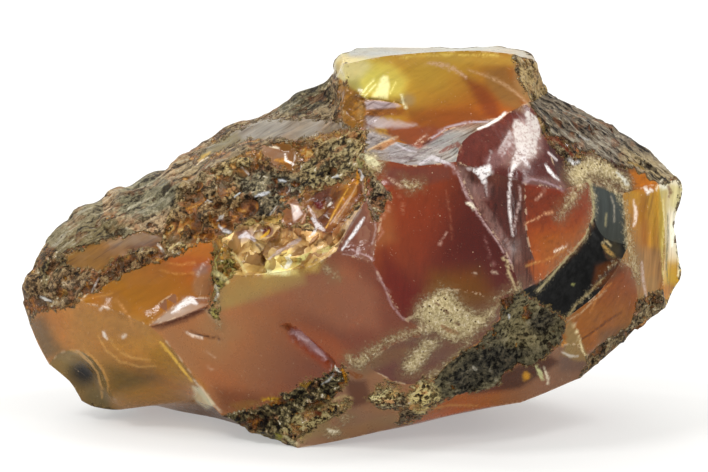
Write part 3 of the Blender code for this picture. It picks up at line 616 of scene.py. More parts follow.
class Surface:
    """The fine mesh as arrays: places, edges, triangles, and what surface each belongs to."""

    def __init__(self, bm):
        layer = bm.faces.layers.int["number"]
        bm.verts.index_update()
        self.places = np.array([vert.co for vert in bm.verts])
        self.triangles = np.array([[vert.index for vert in face.verts] for face in bm.faces])
        self.numbers = np.array([face[layer] for face in bm.faces])
        self.ends = np.array([[vert.index for vert in edge.verts] for edge in bm.edges])
        sides = np.array([[face[layer] for face in edge.link_faces] for edge in bm.edges])
        rough = np.array([surface in ("rind", "bark") for surface in SURFACES])
        self.rough = rough
        both_rough = rough[sides[:, 0]] & rough[sides[:, 1]]
        self.border = sides[:, 0] != sides[:, 1]
        self.ridge = self.border & ~both_rough
        self.sides = sides

    def rim_edges(self, wanted):
        """The edges between wanted and other faces."""
        return wanted[self.sides[:, 0]] != wanted[self.sides[:, 1]]

    def normals(self):
        a, b, c = (self.places[self.triangles[:, k]] for k in range(3))
        facing = np.cross(b - a, c - a)
        total = np.zeros_like(self.places)
        for k in range(3):
            np.add.at(total, self.triangles[:, k], facing)
        return total / np.maximum(np.linalg.norm(total, axis=1), 1e-12)[:, None]

    def mean(self, values, ends):
        total = np.zeros_like(values)
        count = np.zeros(len(values))
        for here, there in ((0, 1), (1, 0)):
            np.add.at(total, ends[:, here], values[ends[:, there]])
            np.add.at(count, ends[:, here], 1)
        count = np.maximum(count, 1)
        return total / (count[:, None] if values.ndim > 1 else count)

    def touches(self, edges):
        mask = np.zeros(len(self.places), bool)
        mask[self.ends[edges].ravel()] = True
        return mask

    def share(self, wanted):
        """How much of each vertex's surroundings is in the wanted faces, a flag for each number."""
        total = np.zeros(len(self.places))
        count = np.zeros(len(self.places))
        for k in range(3):
            np.add.at(total, self.triangles[:, k], wanted[self.numbers])
            np.add.at(count, self.triangles[:, k], 1)
        return total / count

    def distance_to(self, edges, rounds):
        """Each vertex's distance over the mesh to the marked edges, as far as the rounds reach."""
        far = np.full(len(self.places), 9.0)
        far[self.touches(edges)] = 0
        lengths = np.linalg.norm(self.places[self.ends[:, 0]] - self.places[self.ends[:, 1]], axis=1)
        for _ in range(rounds):
            for here, there in ((0, 1), (1, 0)):
                np.minimum.at(far, self.ends[:, here], far[self.ends[:, there]] + lengths)
        return far

    def smooth(self):
        """Rounds off the solid's triangles: the ridges along themselves, and the faces between them."""
        on_ridge = self.touches(self.ridge)
        count = np.zeros(len(self.places))
        np.add.at(count, self.ends[self.ridge].ravel(), 1)
        sole = self.share(np.array([surface == "base" for surface in SURFACES])) > 0
        along = on_ridge & (count == 2) & ~sole
        for _ in range(RIDGE_ROUNDS):
            step = self.mean(self.places, self.ends[self.ridge])
            self.places[along] = (self.places[along] + step[along]) / 2
        is_rough = self.share(self.rough) > 0.5
        for turn in range(GLASS_ROUNDS):
            moving = ~on_ridge & ~sole & (~is_rough if turn >= ROUGH_ROUNDS else True)
            step = self.mean(self.places, self.ends)
            self.places[moving] = step[moving]


# ---------------------------------------------------------------------------------------------
# Looks of the faces
# ---------------------------------------------------------------------------------------------
def oval(pixel, half_width, half_height, turn=0):
    """An outline of twelve points round a pixel."""
    points = []
    for step in range(12):
        angle = step * math.tau / 12
        across, down = half_width * math.cos(angle), half_height * math.sin(angle)
        cos, sin = math.cos(math.radians(turn)), math.sin(math.radians(turn))
        points.append((pixel[0] + across * cos - down * sin, pixel[1] + across * sin + down * cos))
    return points


# Glassy faces: name -> (colour at a pixel, that pixel, colour at another, that pixel, clearness).
GLASS_LOOKS = {
    "lobe_face": ("C98E4C", (95, 318), "9A7436", (130, 400), 0.35),
    "thumbprint": ("A08650", (55, 352), "8A6E40", (100, 400), 0.35),
    "flake": ("B8A878", (205, 392), "A89868", (215, 410), 0.3),
    "orange_hollow": ("C2701E", (185, 245), "B87A22", (140, 300), 0.35),
    "ledge": ("96684A", (160, 318), "A07254", (205, 305), 0.25),
    "step_wall": ("B27C50", (205, 262), "A87048", (208, 310), 0.25),
    "pink_face": ("B57A4E", (180, 335), "7C4C3C", (330, 380), 0.2),
    "chips": ("F2D898", (230, 250), "E6C086", (320, 235), 0.24),
    "bevel": ("8A6050", (355, 200), "7E5044", (340, 250), 0.2),
    "red_face": ("88442C", (400, 190), "5A3230", (495, 262), 0.22),
    "pale_patch": ("6E4C46", (380, 360), "6A4E46", (450, 350), 0.15),
    "low_face": ("947058", (340, 415), "9A7454", (420, 400), 0.2),
    "keel_face": ("A86228", (450, 398), "8E6E58", (570, 370), 0.3),
    "spine_face": ("5E4038", (480, 190), "644C46", (520, 280), 0.25),
    "ember_face": ("8A3A16", (540, 195), "B4642A", (545, 270), 0.3),
    "glare_face": ("6A3A34", (490, 140), "5A3230", (530, 180), 0.25),
    # the shelf's grey-violet is painted sheen over the amber
    "shelf": ("969090", (400, 150), "9A9A96", (462, 130), 0.12),
    "knob_front": ("CAAA44", (425, 58), "A86228", (470, 122), 0.3),
    "knob_notch": ("9A7454", (370, 108), "8C7468", (385, 122), 0.2),
    "knob_top": ("AEB0AA", (350, 56), "BCBCB2", (470, 50), 0.15),
    "brow": ("46261C", (550, 150), "584034", (600, 165), 0.2),
    # the upper coal's blue-grey, lighter than the lower coal, is painted sheen over black coal
    "coal_upper": ("464A48", (600, 200), "40423E", (615, 240), 0.0),
    "coal_lower": ("22221F", (590, 250), "22221E", (555, 300), 0.0),
    "amber_cheek": ("884A14", (620, 275), "986028", (600, 320), 0.25),
    "right_end": ("CC9834", (650, 195), "9C7448", (650, 285), 0.3),
    # the thin edge's near-white is partly the thin amber's own pale yellow, partly a painted glow of light shining
    # through it
    "thin_edge": ("F4F2DC", (678, 240), "DCC060", (676, 284), 0.2),
    "window": ("8C6030", (120, 244), "906428", (80, 262), 0.3),
    "nape_chip": ("B07A34", (400, 60), "8E5A28", (400, 90), 0.5),
    "far_scar": ("A8641C", (250, 200), "6E3414", (250, 300), 0.6),
    "far_pane": ("7E3A14", (400, 180), "A45C1C", (500, 280), 0.6),
    "hem_right": ("B47A2C", (400, 280), "7E4418", (500, 380), 0.6),
    "heel": ("A2763E", (60, 330), "84602E", (90, 400), 0.5),
    "under_lobe": ("96703C", (150, 400), "7E5A34", (220, 430), 0.4),
    "under_right": ("A4683A", (400, 420), "8A5E46", (540, 390), 0.4),
    "under_far": ("96643E", (560, 380), "7E5640", (620, 350), 0.35),
    "sole": ("7C5C40", (300, 440), "7C5C40", (400, 440), 0.1),
}
# How rough each glassy face is; the others are polished.
SATIN = {
    "pink_face": 0.30, "red_face": 0.22, "pale_patch": 0.30, "low_face": 0.34, "keel_face": 0.26,
    "coal_upper": 0.50, "coal_lower": 0.80, "lobe_face": 0.26, "thumbprint": 0.24, "knob_top": 0.35,
    "spine_face": 0.24, "glare_face": 0.28, "shelf": 0.28, "window": 0.5, "flake": 0.4,
    "under_lobe": 0.3, "under_right": 0.3, "under_far": 0.3, "sole": 0.4, "hem_right": 0.22,
}
PLAIN_SATIN = 0.15

# Rough faces: name -> (tint of the rind, how much of the face it covers). Others take the plain ones.
RIND_TINT, RIND_COVER = "84745A", 0.78
RIND_LOOKS = {
    "tip_rind": ("977B57", 0.68), "window_sill": ("947852", 0.52), "slope_left": ("84795C", 0.90),
    "slope_middle": ("B89C78", 0.80), "slope_front": ("CCB47C", 0.60), "slope_top": ("9C8868", 0.85),
    "band": ("5E5538", 0.80), "rotten_hollow": ("625A3C", 0.85), "cheek_rind": ("8E7A58", 0.62),
    "shoulder": ("766A5A", 1.0), "knob_side": ("B89C68", 0.80), "knob_flank": ("977F5E", 0.85),
    "under_corner": ("9E9264", 0.80), "back_left": ("8A7A5E", 0.82), "back_right": ("7A6C5A", 0.92),
    "nape": ("84745C", 0.82),
}
# Where the rind is thinner or thicker than elsewhere: (outline, softness in pixels, cover, tint).
RIND_PAINT = [
    (oval((384, 395), 17, 10), 6, 0.74, "FCEEB0"),
    (oval((424, 398), 17, 16), 8, 0.72, "F4E09A"),
    ([(212, 238), (236, 238), (238, 276), (222, 322), (210, 322)], 6, 0.7, "A89C50"),
    ([(280, 430), (300, 410), (350, 396), (354, 406), (310, 440), (286, 444)], 6, 0.8, "B4A470"),
    ([(165, 232), (178, 205), (205, 192), (240, 198), (262, 210), (258, 232), (236, 246), (214, 244)],
     14, 0.55, "94744A"),
    ([(180, 195), (186, 172), (215, 170), (240, 178), (225, 196), (200, 200)], 12, 0.62, "A08A64"),
    ([(248, 172), (258, 150), (300, 140), (322, 150), (318, 168), (290, 176)], 10, 0.42, "8C6C3C"),
    ([(236, 176), (262, 168), (306, 178), (308, 204), (282, 222), (246, 214)], 12, 0.80, "7A725C"),
    ([(300, 166), (330, 138), (356, 140), (358, 168), (336, 184), (304, 192)], 10, 0.86, "9E8E64"),
    ([(212, 250), (226, 228), (262, 222), (300, 206), (330, 196), (325, 214), (290, 232), (240, 244)],
     8, 0.42, "BCA45C"),
    ([(120, 182), (150, 172), (180, 184), (178, 208), (140, 222), (112, 214)], 14, 0.96, "807A60"),
    ([(36, 262), (70, 232), (110, 214), (130, 226), (70, 262), (44, 290)], 12, 0.86, "7A6C4A"),
    ([(262, 112), (300, 84), (330, 78), (334, 100), (300, 116)], 10, 0.95, "686048"),
    ([(500, 320), (520, 296), (552, 300), (560, 322), (536, 344), (506, 350)], 12, 0.95, "8A7E54"),
    ([(448, 378), (470, 352), (500, 344), (530, 352), (500, 376), (462, 394)], 10, 0.97, "1E1A0E"),
    ([(526, 314), (548, 306), (558, 322), (542, 336), (530, 330)], 10, 0.97, "3A3220"),
    ([(560, 112), (584, 120), (622, 146), (612, 152), (580, 142), (552, 128)], 12, 1.0, "665A4C"),
    ([(622, 148), (650, 158), (680, 176), (676, 190), (648, 178), (620, 160)], 12, 1.0, "A08E6C"),
]




# Extra rind on glassy faces, and extra glass in rind, as outlines on the picture in pixels.
RIND_OUTLINES = {
    "seam": [(214, 238), (224, 238), (232, 258), (236, 274), (222, 284), (217, 300), (219, 320), (212, 312),
             (214, 290), (213, 262)],
    "low_left": [(276, 436), (286, 425), (308, 415), (330, 406), (346, 400), (353, 404), (336, 416),
                 (320, 424), (306, 436), (292, 446)],
    "low_middle": [(368, 398), (376, 386), (390, 383), (402, 391), (405, 403), (393, 409), (378, 406)],
    "low_right": [(396, 424), (402, 402), (412, 388), (425, 378), (442, 384), (452, 392), (440, 402),
                  (426, 411), (412, 422)],
    "brow_edge": [(540, 118), (556, 136), (570, 150), (586, 158), (570, 164), (560, 152), (546, 138)],
    "red_top": [(372, 176), (384, 186), (392, 200), (384, 206), (374, 220), (368, 204)],
}
GLASS_OUTLINES = {
    "amber_eye": [(258, 148), (270, 142), (286, 141), (297, 146), (301, 158), (297, 172), (286, 168),
                  (272, 164)],
    "shard": [(280, 222), (286, 205), (293, 196), (303, 203), (309, 215), (300, 225), (290, 231)],
    "sliver": [(325, 230), (330, 214), (337, 200), (344, 187), (351, 185), (347, 200), (339, 214),
               (333, 229)],
    "column": [(339, 78), (347, 84), (359, 92), (366, 106), (363, 127), (352, 128), (342, 123), (337, 104)],
    "grey_strip": [(196, 156), (214, 142), (232, 132), (248, 124), (262, 117), (285, 118), (312, 118),
                   (342, 121), (350, 128), (325, 134), (300, 141), (275, 140), (250, 140), (226, 148),
                   (206, 160)],
    "glint_sliver": [(195, 167), (201, 156), (211, 151), (206, 161)],
    "flank_glass": [(328, 48), (348, 46), (348, 70), (352, 92), (344, 86), (335, 77), (328, 66)],
    "flank_strip": [(300, 196), (320, 188), (344, 182), (360, 178), (366, 196), (352, 214), (338, 238),
                    (318, 232), (306, 214)],
}
# Round glassy pits in the rind: (pixel, half width, half height, depth in millimetres).
PITS = [
    ((248, 207), 11, 9, 1.3), ((221, 206), 9, 5, 0.8), ((225, 228), 8, 8, 0.8), ((196, 226), 6, 7, 0.9),
    ((207, 236), 7, 4, 0.6), ((243, 171), 6, 6, 0.8), ((185, 191), 5, 5, 0.6), ((199, 185), 5, 4, 0.5),
    ((283, 190), 7, 5, 0.8), ((268, 232), 6, 6, 0.8), ((296, 183), 5, 3, 0.5), ((60, 293), 9, 5, 0.7),
    ((88, 290), 6, 4, 0.6), ((118, 262), 5, 5, 0.6), ((505, 300), 8, 5, 0.7), ((150, 226), 4, 3, 0.4), ((92, 226), 6, 3, 0.5), 
    ((333, 172), 5, 4, 0.6), ((318, 205), 5, 5, 0.7),
]
# Pale froth in the amber, as outlines, and as veins: (pixel x, pixel y, half width) along a line.
FROTH_OUTLINES = {
    "patch": [(412, 318), (419, 302), (431, 293), (443, 288), (455, 292), (464, 305), (476, 312),
              (490, 308), (500, 303), (493, 318), (484, 328), (470, 338), (455, 344), (441, 339),
              (430, 331), (420, 325)],
    "patch_low": [(424, 337), (442, 340), (433, 352), (425, 363), (414, 377), (401, 374), (403, 362),
                  (412, 350)],
    "brow": [(566, 174), (574, 160), (590, 155), (606, 157), (620, 167), (628, 176), (632, 188),
             (628, 192), (618, 186), (608, 180), (597, 177), (589, 178), (585, 188), (577, 201),
             (567, 210), (560, 221), (557, 214), (565, 201), (574, 187)],
    "knot": [(356, 160), (365, 150), (376, 152), (385, 162), (381, 173), (372, 178), (361, 170)],
    "low_spot": oval((383, 397), 9, 6), "low_streak": oval((424, 386), 4, 9, 10), "toe_spot": oval((333, 432), 8, 4),
    "toe_spot_high": oval((346, 418), 6, 3), "knob_edge": oval((372, 168), 8, 5),
}
FROTH_VEINS = [
    [(430, 330, 4), (412, 333, 3.5), (396, 337, 3), (381, 345, 3.5), (369, 354, 4.5), (358, 364, 5),
     (350, 359, 4)],
    [(468, 342, 2), (456, 357, 2), (443, 368, 2), (430, 376, 2.5), (424, 386, 4), (430, 396, 4.5),
     (424, 407, 4)],
    [(588, 176, 3), (592, 190, 2), (594, 206, 1.5), (592, 220, 1), (586, 236, 0.5), (576, 248, 0.5),
     (566, 258, 0.5), (556, 270, 0.5), (546, 282, 1), (537, 291, 2)],
    [(592, 178, 2), (606, 182, 2), (618, 195, 2.5), (625, 206, 3), (627, 226, 3.5), (630, 246, 4),
     (634, 262, 4), (638, 280, 2)],
    [(632, 262, 2), (618, 262, 1), (604, 275, 0.5), (592, 290, 0.5), (575, 305, 0.5), (567, 318, 1)],
    [(495, 300, 1.5), (508, 292, 2), (518, 287, 2), (519, 297, 2), (510, 312, 2)],
    [(216, 286, 2), (218, 300, 2), (215, 312, 3), (219, 324, 2)],
    [(404, 183, 3), (412, 186, 3.5), (420, 184, 2)],
    [(325, 268, 1.5), (338, 278, 0.8)],
]

# Colour laid over the faces: name -> (outline, colour, softness in pixels, strength, clearness or None).
PAINT = {
    "window_right": ([(126, 240), (150, 231), (174, 228), (176, 238), (150, 248), (128, 258)], "6E4218", 8,
                     0.85, None),
    # lobe and thumbprint
    "thumb_smoke": (oval((82, 374), 13, 11, 30), "2A2420", 18, 1.0, 0.3),
    "thumb_foot": (oval((98, 398), 12, 8, 20), "82704A", 10, 0.8, None),
    "lobe_left": ([(22, 318), (44, 316), (56, 340), (66, 352), (44, 362), (28, 350)], "7E6844", 16, 0.9, None),
    "lobe_crown": ([(76, 312), (140, 318), (150, 336), (110, 342), (84, 332)], "C08C4C", 18, 0.8, None),
    "lobe_waist": ([(104, 342), (160, 336), (166, 352), (150, 364), (120, 358)], "CE9442", 12, 0.9, None),
    "lobe_olive": ([(106, 366), (146, 374), (164, 380), (150, 390), (116, 394)], "7C6230", 16, 0.8, 0.4),
    # the lobe's foot is painted lighter than its own colour: painted light on a downward face that lies in shade
    "lobe_foot": ([(112, 394), (158, 382), (198, 384), (206, 402), (116, 416)], "BC8638", 14, 0.9, None),
    "lobe_edge": ([(146, 352), (162, 344), (204, 388), (184, 394), (160, 376)], "B4802C", 12, 0.9, None),
    # the flake is painted lighter than its own pale colour: painted light on a downward face that lies in shade
    "flake": ([(192, 386), (202, 388), (215, 404), (207, 410), (196, 402)], "E4DCB4", 3, 1.0, None),
    # orange hollow
    "hollow_bulge": (oval((203, 284), 10, 14, 20), "B4865A", 5, 0.8, None),
    "hollow_bulge_rim": (oval((202, 270), 9, 5, -25), "A8908A", 5, 0.7, None),
    "hollow_brow": ([(160, 244), (214, 240), (214, 258), (170, 256)], "CC862A", 7, 0.8, None),
    "hollow_left": ([(85, 292), (118, 290), (132, 306), (128, 320), (96, 306)], "AC7434", 6, 0.7, None),
    # the ledge's pale mauve-white wedge is a painted highlight
    "ledge_highlight": ([(152, 324), (168, 311), (185, 298), (192, 297), (198, 304), (208, 304), (190, 314),
                     (170, 321)], "B8A494", 3, 0.9, 0.1),
    "ledge_shade": ([(152, 327), (176, 319), (208, 306), (210, 310), (184, 323), (160, 330)], "6E4634", 2.5, 0.9,
                    None),
    # a painted highlight on the step beside the ledge
    "step_highlight": ([(206, 310), (214, 308), (220, 324), (210, 318)], "C8B090", 3, 0.8, None),
    # pink face and its gouge
    "pink_top": ([(216, 276), (236, 274), (262, 276), (304, 272), (306, 284), (270, 296), (219, 310)], "B29658",
                 9, 0.85, 0.3),
    "pink_left": ([(160, 330), (215, 312), (240, 330), (220, 360), (196, 376)], "A67A52", 24, 0.7, None),
    "pink_pale": ([(250, 300), (345, 262), (375, 290), (380, 330), (340, 330), (300, 310)], "9C6A50", 20, 0.6,
                  None),
    "gouge_glow": (oval((318, 345), 32, 14, 25), "A8603A", 16, 0.5, None),
    "gouge": ([(285, 327), (297, 330), (318, 346), (332, 360), (325, 369), (306, 354), (290, 340)], "8E4A36", 4,
              0.8, None),
    # pale violet along the gouge's floor is a painted highlight
    "gouge_highlight": ([(288, 332), (298, 331), (318, 350), (324, 360), (314, 356), (300, 344)], "B09098", 4, 0.8,
                    None),
    "pink_foot": ([(215, 388), (280, 396), (250, 414), (222, 410)], "74462E", 14, 0.7, None),
    "pink_foot_gold": ([(228, 404), (250, 400), (262, 402), (240, 412)], "8E6A34", 4, 0.6, None),
    # chipped amber
    "chips_band": ([(218, 262), (325, 258), (318, 272), (218, 278)], "BC9C50", 8, 0.8, None),
    # the pale yellow patch is partly the chips' own yellow, partly painted reflection of light inside them
    "chips_light": ([(262, 262), (276, 252), (290, 250), (297, 262), (298, 274), (264, 276)], "F2E08C", 6, 0.95,
                    0.2),
    "chips_olive": ([(244, 236), (276, 236), (272, 262), (242, 262)], "D0B878", 8, 0.6, None),
    "chips_gold": ([(218, 246), (234, 238), (240, 262), (226, 274)], "C6AC5C", 5, 0.8, 0.4),
    "chips_top": ([(232, 222), (262, 214), (290, 216), (276, 234), (240, 238)], "A08454", 8, 0.8, None),
    "chips_brown": ([(258, 240), (282, 236), (284, 252), (262, 262)], "AC8850", 6, 0.7, None),
    "chips_mauve": ([(236, 232), (252, 228), (256, 240), (242, 244)], "B8A0A0", 4, 0.8, None),
    "chips_right": ([(292, 234), (312, 232), (312, 256), (296, 256)], "C8A468", 5, 0.7, None),
    # red face
    "halo": ([(424, 300), (432, 272), (478, 268), (498, 300), (470, 312)], "704E1C", 26, 0.85, None),
    "red_right": ([(456, 180), (522, 180), (522, 262), (440, 262)], "482826", 40, 0.7, None),
    "red_left": ([(372, 204), (392, 204), (396, 240), (376, 248)], "96603C", 14, 0.7, None),
    "red_band": ([(384, 168), (450, 166), (452, 178), (430, 184), (390, 186)], "6E443C", 7, 0.8, None),
    "red_foot": ([(384, 250), (428, 300), (408, 322), (380, 284)], "602A2A", 20, 0.7, None),
    # knob
    "flank_glass": (GLASS_OUTLINES["flank_glass"], "C6BE90", 3, 1.0, 0.2),
    # the knob's brighter yellow wedge is its own yellow with a painted sparkle of light off a fracture inside it
    "knob_yellow": ([(350, 60), (392, 60), (408, 80), (402, 96), (362, 96), (348, 84)], "E6D868", 12, 0.9, 0.3),
    "knob_corner": ([(336, 58), (364, 58), (372, 66), (356, 84), (342, 86)], "DED294", 10, 0.9, 0.2),
    "knob_olive": ([(344, 80), (358, 78), (364, 92), (354, 92)], "A89E58", 6, 0.8, None),
    # a painted glint off the same fracture
    "knob_flash": ([(371, 97), (376, 90), (382, 76), (388, 75), (390, 84), (388, 98)], "FFFAB4", 2.5, 1.0, 0.1),
    "knob_smoke": (oval((408, 100), 7, 6), "A89870", 6, 0.8, None),
    "knob_rim": ([(372, 60), (440, 54), (516, 56), (516, 66), (450, 62), (400, 66)], "CFAE50", 8, 0.8, None),
    "knob_right": ([(482, 70), (506, 66), (520, 92), (524, 112), (504, 106), (490, 90)], "96703E", 10, 0.8, None),
    "knob_arc_shade": ([(462, 76), (486, 86), (498, 104), (502, 122), (486, 116), (474, 96)], "86441C", 10, 0.8,
                       None),
    "knob_edge": ([(513, 60), (530, 58), (536, 110), (522, 98), (514, 84)], "A88A5C", 7, 0.8, None),
    "knob_foot": ([(405, 108), (470, 108), (490, 122), (470, 128), (430, 132), (410, 126)], "8A5020", 12, 0.7,
                  None),
    # notch under the knob
    # pale violet band: painted sheen
    "notch_sheen_high": ([(364, 102), (374, 100), (398, 103), (402, 107), (388, 108), (366, 110)], "BCAEB4", 2.5, 0.9,
                   0.1),
    "notch_orange": ([(362, 110), (404, 108), (404, 116), (364, 116)], "A0662E", 3, 0.9, None),
    # pale violet band: painted sheen
    "notch_sheen_low": ([(366, 116), (384, 118), (404, 122), (420, 125), (404, 129), (368, 128)], "BCAEB0", 3, 0.9, 0.1),
    "notch_red": ([(386, 128), (438, 126), (444, 134), (420, 149), (402, 142), (388, 134)], "8C4C34", 4, 0.9,
                  None),
    # grey band: painted sheen
    "notch_sheen_grey": ([(366, 126), (378, 132), (396, 138), (380, 146), (368, 142)], "8E8684", 3, 0.9, 0.1),
    "notch_wedge": ([(370, 149), (384, 142), (398, 137), (396, 142), (382, 150)], "B07C50", 2, 0.9, None),
    # glare face and spine
    "glare_dark": ([(474, 134), (506, 120), (508, 142), (490, 156), (472, 148)], "6C3E38", 8, 0.6, None),
    # the mauve haze round the burst, round the star and below it is painted reflection
    "burst_glare_haze": ([(500, 150), (510, 128), (522, 118), (542, 122), (542, 152), (524, 168), (504, 166)],
                   "A88E8A", 10, 0.6, None),
    "star_sheen": ([(484, 160), (500, 146), (512, 140), (514, 150), (502, 164), (492, 170)], "98787A", 6, 0.7,
                  None),
    "star_tail": ([(472, 184), (492, 184), (488, 200), (476, 200)], "9C7874", 6, 0.5, None),
    "spine_left": ([(452, 164), (466, 190), (480, 212), (512, 262), (520, 262), (500, 226), (480, 196),
                    (464, 168)], "866C68", 3, 0.7, None),
    "spine_foot": ([(506, 240), (521, 238), (522, 262), (514, 264)], "6E5E5A", 6, 0.7, None),
    "ember_brow": ([(524, 176), (560, 178), (570, 192), (540, 186), (524, 184)], "7C6464", 4, 0.7, None),
    # ember face
    "ember_low": ([(540, 238), (590, 225), (575, 248), (545, 276)], "A05E28", 14, 0.7, None),
    "ember_foot": ([(526, 262), (556, 254), (548, 272), (536, 284)], "A8602C", 5, 0.8, None),
    "ember_high": ([(524, 186), (560, 192), (578, 206), (556, 222), (526, 226)], "7A3C22", 14, 0.7, None),
    # right end
    "end_orange": ([(630, 170), (662, 176), (654, 194), (634, 190)], "CC7A20", 8, 0.9, 0.3),
    "end_stripe": ([(640, 196), (648, 192), (650, 246), (642, 246)], "A8702A", 4, 0.8, 0.3),
    "end_gold": ([(648, 190), (658, 190), (656, 250), (648, 246)], "C89A38", 4, 0.9, 0.3),
    "end_olive": ([(659, 188), (668, 190), (667, 262), (659, 256)], "C4B04C", 4, 0.9, 0.3),
    "end_mauve": ([(634, 246), (664, 250), (662, 292), (640, 296)], "A88658", 12, 0.9, None),
    "thin_top": ([(668, 184), (686, 186), (688, 208), (668, 210)], "E4DC98", 8, 0.8, 0.3),
    "thin_gold": ([(666, 262), (690, 262), (684, 292), (664, 290)], "D2A828", 10, 0.95, 0.3),
    "thin_foot": ([(660, 284), (682, 284), (672, 302), (656, 298)], "B0741C", 8, 0.9, None),
    "nodule_stain": ([(606, 244), (616, 240), (622, 250), (616, 262), (606, 258)], "4A4438", 4, 0.6, None),
    # cheek
    "cheek_top": ([(596, 266), (620, 258), (626, 270), (606, 284), (592, 290)], "5E3A24", 6, 0.8, None),
    "cheek_foot": ([(600, 332), (630, 322), (634, 345), (598, 352)], "6E5238", 9, 0.7, None),
    "cheek_left": ([(562, 322), (596, 306), (604, 322), (582, 344)], "9A6430", 9, 0.6, None),
    # low on the front
    "keel_dark": ([(458, 384), (500, 374), (545, 352), (560, 362), (520, 388), (470, 396)], "4E3222", 7, 0.9,
                  None),
    "keel_orange": ([(408, 404), (450, 394), (500, 394), (500, 404), (412, 414)], "A06430", 7, 0.7, None),
    "keel_chip_gold": (oval((526, 376), 4, 4), "E0A02C", 3, 1.0, 0.4),
    "keel_right": ([(560, 356), (600, 350), (596, 372), (560, 372)], "6E5C54", 8, 0.7, None),
    "vein_haze": ([(350, 366), (376, 352), (404, 346), (412, 352), (392, 362), (366, 376)], "7C6048", 10, 0.8,
                  None),
    "low_smear": ([(322, 400), (348, 404), (340, 414), (318, 418)], "A08864", 5, 0.8, None),
    "low_dark": ([(344, 380), (366, 380), (372, 402), (352, 408)], "5E3C30", 7, 0.8, None),
    "low_pale": ([(288, 424), (330, 408), (330, 432), (300, 442)], "94805A", 8, 0.7, None),
    "low_foot": ([(330, 432), (400, 412), (400, 422), (340, 442)], "9A7C5A", 6, 0.6, None),
    # glass in the rind
    "eye": (GLASS_OUTLINES["amber_eye"], "8E6418", 3, 1.0, 0.4),
    "shard": (GLASS_OUTLINES["shard"], "9A6A44", 3, 1.0, 0.3),
    # a painted highlight on the shard
    "shard_highlight": ([(291, 204), (298, 206), (303, 214), (294, 222), (292, 212)], "E4D8D8", 2, 1.0, 0.1),
    "sliver": (GLASS_OUTLINES["sliver"], "D08A18", 3, 1.0, 0.5),
    "column": (GLASS_OUTLINES["column"], "A0702C", 3, 1.0, 0.3),
    # the strip of glass is painted grey: painted sheen
    "grey_strip": (GLASS_OUTLINES["grey_strip"], "8A8478", 3, 1.0, 0.2),
    "strip_olive": ([(196, 156), (214, 142), (236, 132), (244, 142), (206, 162)], "7C7048", 8, 0.8, None),
    "glint_sliver": (GLASS_OUTLINES["glint_sliver"], "C0A050", 2, 1.0, 0.3),
    "cheek_chip": ([(564, 330), (570, 320), (578, 335), (586, 352), (590, 360), (576, 361), (562, 354),
                    (567, 342)], "9C8454", 3, 0.9, 0.3),
    "flank_strip": (GLASS_OUTLINES["flank_strip"], "92602C", 4, 1.0, 0.4),
    "flank_gold": ([(346, 182), (360, 178), (356, 198), (346, 216), (334, 226), (336, 204)], "C88C26", 6, 0.8, 0.4),
    "flank_dark": ([(308, 192), (330, 188), (328, 204), (312, 206)], "6E3A1C", 5, 0.7, None),
    "window_top": ([(96, 240), (166, 228), (168, 240), (120, 248)], "8A6C4A", 8, 0.8, None),
    **{f"pit_{number}": (oval(pixel, wide, high), "6E260C", 2, 1.0, 0.3)
       for number, (pixel, wide, high, _) in enumerate(PITS)},
}
